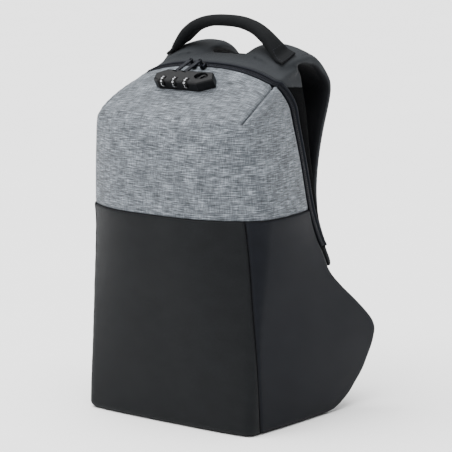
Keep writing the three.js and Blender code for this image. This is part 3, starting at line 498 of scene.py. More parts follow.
heatherCloth = clothMaterial("heatherCloth", heatherLook)
darkCloth = clothMaterial("darkCloth", darkLook)
sideCloth = clothMaterial("sideCloth", sideLook)
litYokeCloth = clothMaterial("litYokeCloth", litYokeLook)
handleCloth = clothMaterial("handleCloth", handleLook)
meshCloth = clothMaterial("meshCloth", meshLook)
shadedGussetCloth = clothMaterial("shadedGussetCloth", shadedGussetLook)
tapeCloth = clothMaterial("tapeCloth", tapeLook)
pipingCloth = clothMaterial("pipingCloth", pipingLook)
webCloth = clothMaterial("webCloth", webLook)
lockPlastic = hardMaterial("lockPlastic", lockLook)
dialPlastic = hardMaterial("dialPlastic", dialLook)
zipMetal = hardMaterial("zipMetal", metalLook)
numeralPaint = hardMaterial("numeralPaint", numeralLook)
seamThread = hardMaterial("seamThread", threadLook)
print("materials ready")

# Camera and studio; the lens is 2200 pixels long in a frame 452 pixels wide
studio = {
    "lens": 2200 / 452 * 36, "place": (1.56384, -1.93467, 0.66587), "turn": (90 - 9.87, 0, 37.28),
    "floor": 0.96, "floorHalf": 12, "world": 0.45,
    "key": 13, "keyPlace": (-1.2, -2.3, 1.6), "keyAim": (0, 0, 0.25), "keySize": 1.6,
    "sun": 7.8, "sunWay": (-0.12, -0.22, 1), "sunSpread": 75,
}
eye = bpy.data.cameras.new("camera")
eye.lens, eye.sensor_width = studio["lens"], 36
eye.clip_start, eye.clip_end = 0.1, 60
camera = newObject("camera", eye)
camera.location = (studio["place"][0], studio["place"][1] + frontLine / 1000, studio["place"][2])
camera.rotation_euler = [math.radians(a) for a in studio["turn"]]
bpy.context.scene.camera = camera


def addLight(name, kind, power, place, aim):
    light = bpy.data.lights.new(name, kind)
    light.energy = power
    lamp = newObject(name, light)
    lamp.location = place
    lamp.rotation_euler = (Vector(aim) - Vector(place)).to_track_quat("-Z", "Y").to_euler()
    return light


keyLight = addLight("keyLight", "AREA", studio["key"], studio["keyPlace"], studio["keyAim"])
keyLight.shape, keyLight.size = "DISK", studio["keySize"]
softSun = addLight("softSun", "SUN", studio["sun"], studio["sunWay"], (0, 0, 0))
softSun.angle = math.radians(studio["sunSpread"])
world = bpy.data.worlds.new("studio")
bpy.context.scene.world = world
world.use_nodes = True
sky = world.node_tree.nodes["Background"]
sky.inputs["Color"].default_value = (1, 1, 1, 1)
sky.inputs["Strength"].default_value = studio["world"]

floorMesh = bpy.data.meshes.new("floor")
half = studio["floorHalf"]
floorMesh.from_pydata([(-half, -half, 0), (half, -half, 0), (half, half, 0), (-half, half, 0)], [],
                      [(0, 1, 2, 3)])
floor = newObject("floor", floorMesh)
floorPaint, floorShader, floorAdd, floorLinks = startMaterial("floorPaint", 0.9, Specular_IOR_Level=0.1)
floorPlace = floorAdd("ShaderNodeTexCoord").outputs["Object"]
floorTone = ramp(floorAdd, grain(floorAdd, floorPlace, 3.0),
                 [(0.3, grey(studio["floor"])), (0.7, grey(studio["floor"] + 0.02))])
floorLinks.new(floorTone, floorShader.inputs["Base Color"])
floor.data.materials.append(floorPaint)
print("studio ready")

# Shell panels
# shade and shadeWidth give the painted shade along the seams
seams = {"depth": 1.5, "width": 2.0, "pucker": 0.22, "shade": 0.85, "shadeWidth": 0.9,
         "proud": 1.5, "proudWidth": 16, "upperDepth": 0.9, "rimPress": 1.6, "rimWidth": 2.2, "sag": 0.5}
# The dart's shade and shadeWidth give painted shade where the slope's cloth rolls into it
dart = {"depth": 4.2, "width": 3.0, "hollow": 3.6, "innerRoll": 8.5, "outerRoll": 5, "start": 0.08,
        "pucker": 0.3, "rimPress": 0.9, "rimWidth": 1.8, "shade": 0.38, "shadeWidth": 4.2}
inward = np.array([0, shell["depth"] * 0.6, shell["split"] * 0.9])


# Cloth tucked into a seam: how far it goes in, with small puckers beside it
def tuck(distance, along, depth=seams["depth"]):
    pull = depth * np.exp(-(distance / seams["width"]) ** 2)
    pucker = seams["pucker"] * np.exp(-distance / 7) * np.sin(along / 3.1 + 1.3 * np.sin(along / 17))
    return pull + pucker * (1 - np.exp(-(distance / 2) ** 2))


# Painted shade beside a seam, where the cloth tucks in
def seamShade(distance):
    return seams["shade"] * np.exp(-(distance / seams["shadeWidth"]) ** 2)


# Lift of the lower cloth towards the seam between the two cloths
def edgeProud(distance):
    lifted = -seams["proud"] * np.exp(-(distance / seams["proudWidth"]) ** 2)
    return lifted * (1 - np.exp(-((distance + 0.3) / 1.4) ** 2))


def finishPanel(name, grid, press, wall, flat, shadeMark, seed, roundEdge=True):
    n = normalsOf(grid, inward)
    outer = grid - n * (press + seams["sag"] * ripple(grid, 55, seed))[..., None]
    return slab(name, outer, outer - n * np.asarray(wall)[..., None], flat, shadeMark, roundEdge)


# Cloth laid on the shell, with each point's place on the cut cloth
def layCloth(rows, heights, alongs):
    grid = np.array([alongLine(halfLine(row), s) for row, s in zip(rows, alongs)])
    return grid, np.stack([alongs, np.broadcast_to(heights[:, None], alongs.shape)], axis=-1)


# One value for each row, as a column
def perRow(rows, value):
    return np.array([value(row) for row in rows])[:, None]


def lengthAt(row):
    return halfLine(row)["length"]


bothSides = (("right", 1), ("left", -1))
split = shell["split"]
lowHeights = np.unique(np.concatenate([[0, 0.3, 0.9, 1.8, 3, 4.6, 7], np.arange(10, 236, 3.2),
                                       split - np.array([10, 8, 6, 4.5, 3.2, 2.2, 1.4, 0.8, 0.2])]))
lowRows = lowHeights / split
nearSeam = np.array([0, 0.6, 1.3, 2.2, 3.3, 4.8])
nearRim = np.array([5.2, 3.6, 2.2, 1.2, 0.5, 0])
seamClear, evenFrom = 0.2, 7

edges = perRow(lowRows, seamAt) - seamClear
alongs = np.hstack([nearSeam - edges, (edges - evenFrom) * np.linspace(-1, 1, 70), edges - nearSeam[::-1]])
grid, flat = layCloth(lowRows, lowRows * split, alongs)
dSide, dTop = edges - np.abs(alongs), split - flat[..., 1]
press = tuck(dSide, flat[..., 1]) + edgeProud(dTop)
# The lower front gets painted shade beside its seams
lowerFront = finishPanel("lower_front", grid, press, np.full(dSide.shape, shell["wall"]), flat,
                         np.maximum(seamShade(dSide), seamShade(dTop)), 3)
addFinish(lowerFront, darkCloth, nodes=["lower_front_panel"])

starts = perRow(lowRows, seamAt) + seamClear
reaches = perRow(lowRows, lengthAt) - starts
dSide = np.hstack([np.tile(nearSeam, (len(lowRows), 1)),
                   evenFrom + (reaches - 2 * evenFrom) * np.linspace(0, 1, 56), reaches - nearRim])
dRim = reaches - dSide
for side, sign in bothSides:
    grid, flat = layCloth(lowRows, lowRows * split, sign * (starts + dSide))
    dTop = split - flat[..., 1]
    onWing = softStep((grid[..., 1] - shell["depth"]) / (shell["wingReach"] * 0.3))
    rolled = seams["rimPress"] * np.exp(-(dRim / seams["rimWidth"]) ** 2)
    press = tuck(dSide, flat[..., 1]) + edgeProud(dTop) + rolled
    wall = shell["wall"] + shell["wingPad"] * onWing - rolled
    # The side panels get painted shade beside their seams
    panel = finishPanel(f"side_{side}", grid, press, wall, flat,
                        np.maximum(seamShade(dSide), seamShade(dTop)), 7 + sign)
    addFinish(panel, sideCloth, nodes=[f"side_panel_{side}"])

upperHeights = np.concatenate([[0.2, 0.8, 1.4, 2.2, 3.2, 4.5, 6.5], np.arange(10, 108, 3.0)])
upperRows = np.concatenate([1 + upperHeights / (shell["fold"] - split), 2 + np.linspace(0, 1, 48)])
slopeLength = math.hypot(shell["slopeDepth"], shell["height"] - shell["fold"])
nearDart = np.array([0.4, 1.0, 1.7, 2.5, 3.4, 4.4, 5.6, 7, 9, 11])
corners = perRow(upperRows, lambda row: halfLine(row)["corner"])
reaches = perRow(upperRows, lengthAt)
behindDart = np.minimum(corners + 14, reaches - 4)
half = np.hstack([(corners - 16) * np.linspace(0, 1, 46), corners - [13.5, *nearDart[::-1], 0],
                  corners + nearDart, behindDart + (reaches - behindDart) * np.linspace(0, 1, 22)])
along = np.hstack([-half[:, :0:-1], half])
up = np.maximum(upperRows - 2, 0)
heights = mix(split, shell["fold"], np.minimum(upperRows - 1, 1)) + up * slopeLength
grid, flat = layCloth(upperRows, heights, along)
slope = np.broadcast_to(up[:, None], along.shape)
dDart, dRim, dLow = np.abs(np.abs(along) - corners), reaches - np.abs(along), flat[..., 1] - split
# The cloth turns softly over the fold, and the black cloth's edge stands a little proud of it
foldPlace = np.exp(-((flat[..., 1] - shell["fold"]) / 15) ** 2)[1:-1, :, None]
for _ in range(26):
    grid[1:-1] += ((grid[:-2] + grid[2:]) / 2 - grid[1:-1]) * 0.7 * foldPlace
onDart = softStep(slope / dart["start"])
dartDip = dart["depth"] * np.exp(-(dDart / dart["width"]) ** 2)
inner = np.abs(along) < corners
rollWidth = np.where(inner, dart["innerRoll"], dart["outerRoll"])
midSlope = np.sin(np.clip(slope, 0, 1) * np.pi)
dartDip += dart["hollow"] * np.exp(-(dDart / rollWidth) ** 2) * midSlope ** 0.5
dartPucker = dart["pucker"] * np.exp(-dDart / 9) * np.sin(slope * 46 + np.sign(along))
dartPucker *= 1 - np.exp(-(dDart / 2) ** 2)
press = tuck(dLow, along, seams["upperDepth"]) + onDart * (dartDip + dartPucker)
press += dart["rimPress"] * np.exp(-(dRim / dart["rimWidth"]) ** 2)
# Painted shade on the inner side of the dart where the slope's cloth rolls in, and along the seam and dart
# lines
rollShade = dart["shade"] * np.exp(-(dDart / dart["shadeWidth"]) ** 2) * midSlope ** 0.3
shadeMark = np.maximum.reduce([seamShade(dLow), onDart * seamShade(dDart), onDart * inner * rollShade])
upper = finishPanel("upper_cloth", grid, press, np.full(dDart.shape, shell["wall"]), flat, shadeMark, 11,
                    roundEdge=False)
addFinish(upper, heatherCloth, nodes=["upper_panel"])
print("shell panels ready")

# Strips sewn behind the seams
strip = {"half": 9, "behind": 3.7, "wall": 0.9, "endGap": 3}
acrossStrip = np.linspace(-strip["half"], strip["half"], 7)


def seamStrip(side, backing):
    backing = np.array(backing)
    n = normalsOf(backing, inward)
    outer, inner = backing - n * strip["behind"], backing - n * (strip["behind"] + strip["wall"])
    addFinish(slab(f"seam_strip_{side}", outer, inner, roundEdge=False), darkCloth)


backing = []
for away in acrossStrip:
    line = halfLine(1 + away / (shell["fold"] - split if away > 0 else split))
    reach = line["length"] - strip["endGap"]
    backing.append(alongLine(line, np.linspace(-reach, reach, 150)))
seamStrip("front", backing)
for side, sign in bothSides:
    seamStrip(side, [alongLine(halfLine(row), sign * (seamAt(row) + acrossStrip))
                     for row in np.linspace(0.02, 0.955, 70)])

# Floor of the bag inside the rounded edge, with a shallow stiffening tray pressed in it
base = {"inset": 2.2, "wall": 4, "rear": 154, "press": 1.1}
foot = halfLine(0)["points"]
foot = foot[foot[:, 1] < shell["depth"] * 0.985]
outline = [(max(p[0] - base["inset"], 0), p[1] + base["inset"]) for p in foot[::2]]
outline.append((outline[-1][0], base["rear"]))
outline = np.array(outline + [(-x, y) for x, y in outline[::-1][:-1]])
middle = outline.mean(axis=0)
# share of the outline, height
levels = [(0.02, base["wall"]), (0.6, base["wall"]), (0.99, base["wall"]), (1.0, base["wall"] - 0.6),
          (1.0, 0.6), (0.995, 0.15), (0.985, 0), (0.9, 0),
          (0.885, base["press"]), (0.5, base["press"]), (0.02, base["press"])]
rings = [np.column_stack([middle + (outline - middle) * k, np.full(len(outline), z)]) for k, z in levels]
addFinish(loft("base_cloth", rings), darkCloth, nodes=["base_panel"])

# Zipper line by shell row: up the side to the top corner at 3, along the top to the middle at 4
zipper = {"width": 10, "wall": 2.4, "set": 2.2, "piping": 3.6, "start": (172 + 89 * 0.34) / 248,
          "cornerSpot": 0.94, "toothPitch": 2.2, "underBehind": 3.1}
# Tooth section by its place across the tape and its height
toothProfile = [(-1.5, -0.9), (-1.2, 0.05), (-0.7, 0.42), (0.7, 0.42), (1.2, 0.05), (1.5, -0.9)]


def upperPoint(u, row):
    line = halfLine(row)
    a = abs(u)
    s = a * line["corner"] if a < 1 else mix(line["corner"], line["length"], a - 1)
    return alongLine(line, np.array(math.copysign(s, u)))


def rimPath(w):
    if w <= 3:
        return section(w)[2]
    top = upperPoint(min(zipper["cornerSpot"], 4 - w), 3)
    return mix(section(3)[2], top, min((w - 3) / (1 - zipper["cornerSpot"]), 1))


def tapeWay(w):
    z = rimPath(w)[2]
    k = ease(z, shell["fold"] * 0.916, topCorner) * 0.6 + ease(w, 3, 3.3) * 0.4
    return unit(mix(np.array([-0.2, 0.98, 0]), np.array([0, 0.95, 0.31]), k))


def offRim(w, away):
    if w > 4:
        p = rimPath(8 - w) + tapeWay(8 - w) * away
        return p * [-1, 1, 1]
    return rimPath(w) + tapeWay(w) * away


# Way across the tape, way along it and the way off its face
def zipFrame(w, away):
    way = tapeWay(w) if w <= 4 else tapeWay(8 - w) * [-1, 1, 1]
    tangent = unit(offRim(w + 0.004, away) - offRim(w - 0.004, away))
    return way, tangent, unit(np.cross(tangent, way))


# Even steps along the zipper
raw = np.linspace(zipper["start"], 8 - zipper["start"], 900)
rawPoints = np.array([offRim(w, zipper["width"] / 2) for w in raw])
rawMarks = np.concatenate([[0], np.cumsum(np.linalg.norm(np.diff(rawPoints, axis=0), axis=1))])


def zipperSpots(pitch):
    count = int(rawMarks[-1] / pitch)
    return np.interp(np.linspace(0, rawMarks[-1], count + 1), rawMarks, raw)


zipSpots = zipperSpots(3.0)
acrossTape = np.array([0, 0.04, 0.1, 0.3, 0.4, 0.45, 0.48, 0.5, 0.52, 0.55, 0.6, 0.7, 0.9, 0.96, 1])
grid = np.array([[offRim(w, mix(zipper["set"], zipper["width"], k)) for k in acrossTape] for w in zipSpots])
tapeIn = np.array([0, shell["depth"] * 0.2, split])
n = normalsOf(grid, tapeIn)
ditch = 0.9 * np.exp(-((acrossTape - 0.5) / 0.05) ** 2) + 0.5 * np.exp(-(acrossTape / 0.05) ** 2)
outer = grid - n * ditch[None, :, None]
flat = np.stack(np.meshgrid(np.linspace(0, rawMarks[-1], len(zipSpots)), acrossTape * zipper["width"],
                            indexing="ij"), axis=-1)
# Painted shade down the tape's middle, in the ditch under the coil
shadeMark = np.broadcast_to(0.8 * np.exp(-((acrossTape - 0.5) / 0.04) ** 2), grid.shape[:2])
tape = slab("zip_tape", outer, outer - n * zipper["wall"], flat, shadeMark)
addFinish(tape, tapeCloth, nodes=["zipper_tape"])

underAway = np.linspace(-5, zipper["width"] + zipper["piping"] + 2.5, 9)
under = np.array([[offRim(w, a) for a in underAway] for w in zipSpots])
under = under - normalsOf(under, tapeIn) * zipper["underBehind"]
underIn = under - normalsOf(under, tapeIn) * strip["wall"]
addFinish(slab("seam_strip_zip", under, underIn, roundEdge=False), tapeCloth)

# Coil of small teeth down the middle of the tape
toothSpots = zipperSpots(zipper["toothPitch"])
points, faces = [], []
for w in toothSpots[1:-1]:
    centre = offRim(w, mix(zipper["set"], zipper["width"], 0.5))
    way, tangent, up = zipFrame(w, 6)
    if np.dot(up, centre - tapeIn) < 0:
        up = -up
    start = len(points)
    for t, wide in ((-0.75, 0.8), (-0.45, 1), (0.45, 1), (0.75, 0.8)):
        for a, b in toothProfile:
            points.append(centre + tangent * t + way * a * wide + up * (b * wide - 0.1))
    m = len(toothProfile)
    for i in range(3):
        for j in range(m):
            a, b = start + i * m + j, start + i * m + (j + 1) % m
            faces.append((a, b, b + m, a + m))
    faces.append(tuple(start + j for j in range(m))[::-1])
    faces.append(tuple(start + 3 * m + j for j in range(m)))
toothMesh = rawMesh("zip_coil", points, faces)
addFinish(newObject("zip_coil", faceOut(toothMesh)), zipMetal)

pipingAt = zipper["width"] + shell["gap"] + zipper["piping"] / 2
rings = []
for w in zipperSpots(2.6):
    centre = offRim(w, pipingAt)
    way, tangent, up = zipFrame(w, pipingAt)
    out = unit(np.cross(up, tangent))
    rings.append([centre + (out * math.cos(a) + up * math.sin(a)) * zipper["piping"] / 2
                  for a in np.linspace(0, 2 * math.pi, 12, endpoint=False)])
addFinish(loft("zip_piping", rings), pipingCloth, nodes=["zipper_piping"])
print("zipper ready")

# Back panel, gussets and yoke
back = {"pad": 8, "width": 232, "lean": 10, "lift": 4, "tilt": 0.15, "inner": 28, "crown": 3.2,
        "yokeWall": 5, "yokeRise": 3, "gussetWall": 3, "channel": 2.6, "cornerTurn": 0.1,
        "sewnAt": (128, 232, 330), "border": 9, "borderDip": 0.9}
# high, half
backRows = [(0, 0.98), (0.22, 1.0), (0.42, 0.95), (0.62, 0.86), (0.82, 0.8), (0.93, 0.77), (1, 0.74)]
backHeight = shell["height"] + back["lift"]
curl = back["pad"] * 1.75
backTop = backHeight - curl * 0.4
backFoot = 4 + shell["gap"]


def backY(z):
    return shell["depth"] + back["pad"] - back["lean"] * z / backHeight


def backHalf(z):
    return column([r[0] * backHeight for r in backRows], [r[1] for r in backRows], z) * back["width"] / 2


def shoulderFall(x, z):
    return math.sin(back["tilt"]) * max(abs(x) - back["inner"], 0) * ease(z, backTop * 0.85, backTop)


def backPoint(u, z):
    a = min(max(z - backTop, 0) / curl, math.pi / 2)
    x = u * backHalf(min(z, backHeight))
    return np.array([x, backY(min(z, backTop)) - curl * (1 - math.cos(a)),
                     min(z, backTop) + curl * math.sin(a) - shoulderFall(x, z)])


us = spots(-1, 1, 64)
zs = np.concatenate([spots(backFoot, backTop, 110, firstOnly=True),
                     backTop + np.linspace(0.12, 1, 10) * curl * math.pi / 2])
grid = np.array([[backPoint(u, z) for z in zs] for u in us])
n = normalsOf(grid, np.array([0, 0, backTop * 0.5]))
edgeU = (1 - np.abs(us))[:, None] * back["width"] / 2
edgeZ = np.minimum(zs - backFoot, 400)[None, :]
crown = (1 - np.exp(-edgeU / 9)) * (1 - np.exp(-edgeZ / 9)) * np.clip((backTop - zs) / 30, 0, 1)[None, :]
spine = np.exp(-((us * back["width"] / 2) / 7) ** 2)[:, None]
spine = spine * np.clip((backTop - 40 - zs) / 20, 0, 1)[None, :]
sewn = sum(np.exp(-((zs - h) / 3.2) ** 2) for h in back["sewnAt"])[None, :] * (1 - np.exp(-edgeU / 14))
border = np.exp(-((edgeU - back["border"]) / 1.6) ** 2) * np.ones_like(edgeZ)
lift = (back["crown"] - back["channel"] * np.maximum(spine, sewn)) * crown - back["borderDip"] * border
outer = grid + n * lift[..., None]
flat = np.stack([grid[..., 0], np.broadcast_to(zs[None, :], grid.shape[:2])], axis=-1)
# Painted shade in the border groove, the middle channel and the sewn channels
shadeMark = np.maximum(0.6 * border, 0.4 * np.maximum(spine, sewn) ** 4)
backPanel = slab("back_pad", outer, grid - n * back["pad"], flat, shadeMark)
addFinish(backPanel, meshCloth, nodes=["back_panel"])

rearGap = pipingAt + zipper["piping"] / 2 + shell["gap"] * 3


def innerSide(z):
    points = halfLine(z / split)["points"]
    y = shell["depth"] - 2
    rear = [p for p in points[75:] if p[1] >= y]
    p = rear[0] if rear else points[-1]
    return np.array([p[0] - 4 - shell["gap"] * 3 - max(shell["edgeRound"] - z, 0), y, z])


def rearPoint(w, k):
    outer = offRim(w, rearGap)
    turnShare = back["cornerTurn"]
    if w <= 3:
        z = mix(zipper["start"] * split, backTop, (w - zipper["start"]) / (3 - zipper["start"]))
        inner = np.array([backHalf(z) + shell["gap"] + back["yokeWall"], backY(z) - back["pad"] * 0.4, z])
    else:
        turn = min((w - 3) / turnShare, 1)
        t = max(w - 3 - turnShare, 0) / (1 - turnShare)
        inner = np.array([mix(backHalf(backTop) + shell["gap"] + back["yokeWall"], 0, t),
                          mix(backY(backTop) - back["pad"] * 0.4,
                              backY(backTop) - curl - shell["gap"] - back["yokeWall"] * 0.3, turn),
                          backTop + (curl - shell["gap"]) * math.sin(turn * math.pi / 2)])
    inner[2] -= shoulderFall(inner[0], inner[2])
    rise = back["yokeRise"] * ease(w, 2.8, 3.4) * math.sin(math.pi * k)
    side = back["gussetWall"] * (1 - ease(w, 2.5, 3)) * math.sin(math.pi * k)
    return mix(outer, inner, k) + np.array([side, side, rise])


gusset = {"top": 2.86, "blend": 0.06, "edgeDip": 0.9, "flatWidth": 40, "edgeWidth": 30}


# Right gusset: w up the bag by shell row, k from the zipper in to the back panel
def gussetPoint(w, k):
    if w > zipper["start"]:
        return rearPoint(w, k)
    z = max(w * split, backFoot)
    low = mix(innerSide(z), np.array([backHalf(z) + shell["gap"] + back["yokeWall"],
                                      backY(z) - back["pad"] * 0.4, z]), k)
    blend = ease(w, zipper["start"] - gusset["blend"], zipper["start"])
    return mix(low, rearPoint(zipper["start"], k), blend)


for side, sign in bothSides:
    ws = np.concatenate([np.linspace(backFoot / split, zipper["start"] - 0.065, 40),
                         np.linspace(zipper["start"] - gusset["blend"], gusset["top"], 110)])
    ks = np.linspace(0, 1, 13)
    grid = np.array([[gussetPoint(w, k) * [sign, 1, 1] for k in ks] for w in ws])
    n = normalsOf(grid, np.array([0, shell["depth"] * 0.5, split]))
    flat = np.stack(np.meshgrid(ws * split, ks * gusset["flatWidth"], indexing="ij"), axis=-1)
    # Painted shade along both edges of the gusset
    edge = np.minimum(ks, 1 - ks)[None, :] * gusset["edgeWidth"] * np.ones((len(ws), 1))
    outer = grid - n * (gusset["edgeDip"] * np.exp(-(edge / 1.5) ** 2))[..., None]
    piece = slab(f"gusset_cloth_{side}", outer, grid - n * back["gussetWall"], flat, seamShade(edge))
    addFinish(piece, shadedGussetCloth, nodes=[f"gusset_{side}"])

    # The gusset's end is folded in under the end of the zipper
    patch = []
    for w in np.linspace(zipper["start"] - 0.058, zipper["start"] + 0.012, 12):
        edgePoint = gussetPoint(min(w, zipper["start"]), 0.03)
        wallPoint = offRim(w, -3) - [2.6, 0, 0]
        patch.append([mix(edgePoint, wallPoint, k) * [sign, 1, 1] for k in np.linspace(0, 1, 9)])
    patch = np.array(patch)
    n = normalsOf(patch, np.array([0, shell["depth"] * 0.5, split]))
    addFinish(slab(f"gusset_end_{side}", patch - n * 0.2, patch - n * 1.8), shadedGussetCloth)

# Yoke and shoulder straps: one padded form over the top of the bag
strap = {"width": 72, "tilt": 0.23, "innerDrop": 5, "pad": 12, "inner": 28, "crest": 23, "splay": 22,
         "bow": 4, "crown": 0.12, "leastWall": 2.6, "turns": 60, "voxel": 2.4}
# reach, crest, drop, pad, splay, width
strapRows = [
    (0.72, 0.51, 0, 0.1, 0, 0.8), (0.77, 0.64, 0, 0.16, 0, 0.86), (0.83, 0.78, 0, 0.3, 0, 0.92),
    (0.91, 0.92, 0, 0.55, 0, 0.98), (1.0, 1.0, 0, 0.85, 0, 1), (1.08, 1.0, 0, 1, 0, 1),
    (1.18, 0.76, 0, 1, 0, 1), (1.265, 0.2, 0, 1, 0, 1), (1.335, 0, 0.025, 1, 0, 1),
    (1.345, 0, 0.06, 1, 0, 1), (1.32, 0, 0.105, 1, 0, 1), (1.26, 0, 0.165, 1, 0, 1),
    (1.205, 0, 0.225, 1, 0, 1), (1.165, 0, 0.29, 1, 0, 1), (1.145, 0, 0.355, 1, 0, 1),
    (1.16, 0, 0.42, 1, 0.02, 1), (1.205, 0, 0.48, 0.95, 0.06, 1), (1.265, 0, 0.54, 0.85, 0.14, 1),
    (1.32, 0, 0.59, 0.6, 0.3, 1),
]


def strapFrame(i):
    at = lambda c: column(range(len(strapRows)), [r[c] for r in strapRows], i)
    width = at(5) * strap["width"]
    return {"centre": np.array([strap["inner"] + width / 2 + at(4) * strap["splay"], at(0) * shell["depth"],
                                shell["height"] + at(1) * strap["crest"] - at(2) * shell["height"]]),
            "width": width, "wall": at(3) * strap["pad"]}


stations = np.linspace(0, len(strapRows) - 1, 170)
strapFrames = [strapFrame(i) for i in stations]
# The foam rounds off the turns of the strap's path
path = np.array([f["centre"] for f in strapFrames])
for _ in range(strap["turns"]):
    path[1:-1] += (path[:-2] + path[2:] - 2 * path[1:-1]) * 0.35
for f, centre in zip(strapFrames, path):
    f["centre"] = centre
for i, f in enumerate(strapFrames):
    ahead, behind = strapFrames[min(i + 1, len(strapFrames) - 1)], strapFrames[max(i - 1, 0)]
    f["way"] = unit(ahead["centre"] - behind["centre"])
    fall = strap["tilt"] * ease(f["centre"][2], shell["height"] * 0.8, shell["height"])
    across = np.array([1, 0, -math.sin(fall)])
    f["across"] = unit(across - f["way"] * np.dot(across, f["way"]))
    f["out"] = np.cross(f["across"], f["way"])

parts = []
for sign in (1, -1):
    rings = []
    for i, f in enumerate(strapFrames):
        end = min(1, (len(strapFrames) - 1 - i) / 5 + 0.45)
        wall = max(f["wall"], strap["leastWall"])
        ring = bandRing(f["centre"] - f["out"] * wall / 2, f["across"], f["out"],
                        f["width"] * (0.9 + 0.1 * end), wall, strap["bow"], strap["crown"],
                        innerDrop=strap["innerDrop"] * ease(stations[i], 8, 5))
        rings.append([p * [sign, 1, 1] for p in ring])
    parts.append(loft(f"strapPart{sign}", rings))
yokeStart = 2.84
grid = np.array([[rearPoint(w, k) if w <= 4 else rearPoint(8 - w, k) * [-1, 1, 1]
                  for k in np.linspace(0, 1, 26)] for w in np.linspace(yokeStart, 8 - yokeStart, 150)])
n = normalsOf(grid, np.array([0, shell["depth"] * 0.6, split]))
parts.append(slab("yokePart", grid, grid - n * back["yokeWall"], roundEdge=False))
# Padding that carries the cloth from the yoke up on to the straps
bridge = {"half": 96, "depths": (96, 132), "heights": (411, 421.5), "fall": 12.8, "over": 1.5, "under": 3.5}
grid = np.array([[(x, mix(*bridge["depths"], k),
                   mix(*bridge["heights"], k) - bridge["fall"] * (abs(x) / bridge["half"]) ** 2)
                  for k in np.linspace(0, 1, 14)]
                 for x in np.linspace(-bridge["half"], bridge["half"], 60)])
over, under = grid + [0, 0, bridge["over"]], grid - [0, 0, bridge["under"]]
parts.append(slab("bridgePart", over, under, roundEdge=False))

bpy.ops.object.select_all(action="DESELECT")
for part in parts:
    part.select_set(True)
bpy.context.view_layer.objects.active = parts[0]
bpy.ops.object.join()
shoulders = bpy.context.view_layer.objects.active
shoulders.name = shoulders.data.name = "yoke_and_straps"
remesh = shoulders.modifiers.new("remesh", "REMESH")
remesh.mode, remesh.voxel_size = "VOXEL", strap["voxel"] / 1000
relax = shoulders.modifiers.new("relax", "SMOOTH")
relax.factor, relax.iterations = 0.5, 9
for name in ("remesh", "relax"):
    bpy.ops.object.modifier_apply(modifier=name)
smooth(shoulders.data)

# Mesh lining on the faces of the straps that lie against the wearer, drawn near black: the lining's own dark
# colour together with painted shade of the straps' hollow
co, normals = (np.zeros(len(shoulders.data.vertices) * 3) for _ in range(2))
shoulders.data.vertices.foreach_get("co", co)
shoulders.data.vertices.foreach_get("normal", normals)
co, normals = toMillimetres(co.reshape(-1, 3)), normals.reshape(-1, 3)
centres = np.array([f["centre"] - f["out"] * f["wall"] / 2 for f in strapFrames])
outs = np.array([f["out"] for f in strapFrames])
liningAndShade = np.zeros(len(co))
for start in range(0, len(co), 4000):
    chunk = co[start:start + 4000]
    near = np.argmin(((chunk[:, None, 1:] - centres[None, :, 1:]) ** 2).sum(axis=2), axis=1)
    facing = (normals[start:start + 4000] * outs[near]).sum(axis=1)
    liningAndShade[start:start + 4000] = np.clip((-0.15 - facing) * 5, 0, 1) * (chunk[:, 1] > 140)
markSeams(shoulders.data, liningAndShade * 0.92)
addFinish(shoulders, litYokeCloth, nodes=["yoke", "shoulder_strap_left", "shoulder_strap_right"])
print("yoke and straps ready")

# Carry handle, flattening into its sewn tabs
handle = {"span": 152, "rise": 39, "band": 13, "width": 29, "depth": 124, "tabWall": 3, "lean": 3}
# out, rise, band, width
handleRows = [
    (0.0, 0.885, 0.95, 0.7), (0.3, 0.85, 0.95, 0.7), (0.56, 0.7, 0.95, 0.72), (0.75, 0.46, 0.97, 0.78),
    (0.89, 0.2, 0.8, 0.86), (0.98, 0.04, 0.42, 0.97), (1.05, 0, 0.25, 1), (1.15, 0, 0.23, 1),
]


def strapTop(x, y):
    i = next(i for i, f in enumerate(strapFrames) if f["centre"][1] > y)
    a, b = strapFrames[i - 1], strapFrames[i]
    k = (y - a["centre"][1]) / (b["centre"][1] - a["centre"][1])
    off = x - mix(a["centre"][0], b["centre"][0], k)
    return (mix(a["centre"][2], b["centre"][2], k) - math.sin(strap["tilt"]) * off
            - strap["bow"] * (2 * off / mix(a["width"], b["width"], k)) ** 2)


def tabSeat(x):
    return strapTop(max(x, handle["span"] * 0.475), handle["depth"]) + 0.6 + handle["tabWall"] / 2


tabRise = (strapTop(0, handle["depth"] + handle["width"] / 2)
           - strapTop(0, handle["depth"] - handle["width"] / 4))
tabTilt = math.atan(tabRise / (handle["width"] * 0.75))
handleList = [(-min(r[0], 1.08), *r[1:]) for r in handleRows[:0:-1]] + handleRows
handleMarks = np.linspace(0, len(handleList) - 1, 130)


def handleAt(i):
    out, rise, band, width = (column(range(len(handleList)), [r[c] for r in handleList], i) for c in range(4))
    x = out * handle["span"] / 2
    centre = np.array([x - handle["lean"] * min(rise, 1), handle["depth"],
                       tabSeat(abs(x)) + rise * handle["rise"]])
    return centre, rise, band, width


handleFrames, rings = [], []
for i in handleMarks:
    centre, rise, band, width = handleAt(i)
    tangent = unit(handleAt(min(i + 0.05, len(handleList) - 1))[0] - handleAt(max(i - 0.05, 0))[0])
    tilt = tabTilt * (1 - ease(rise, 0, 0.5))
    across = np.array([0, math.cos(tilt), math.sin(tilt)])
    out = unit(np.cross(tangent, across))
    handleFrames.append((centre, tangent, across, out, band))
    wall = handle["band"] * band
    crown = 0.1 * min(rise * 4, 1)
    rings.append(bandRing(centre, across, out, handle["width"] * width, wall, 0, crown, 8, 10))
grip = loft("carry_grip", rings)
addFinish(grip, handleCloth, nodes=["carry_handle"])


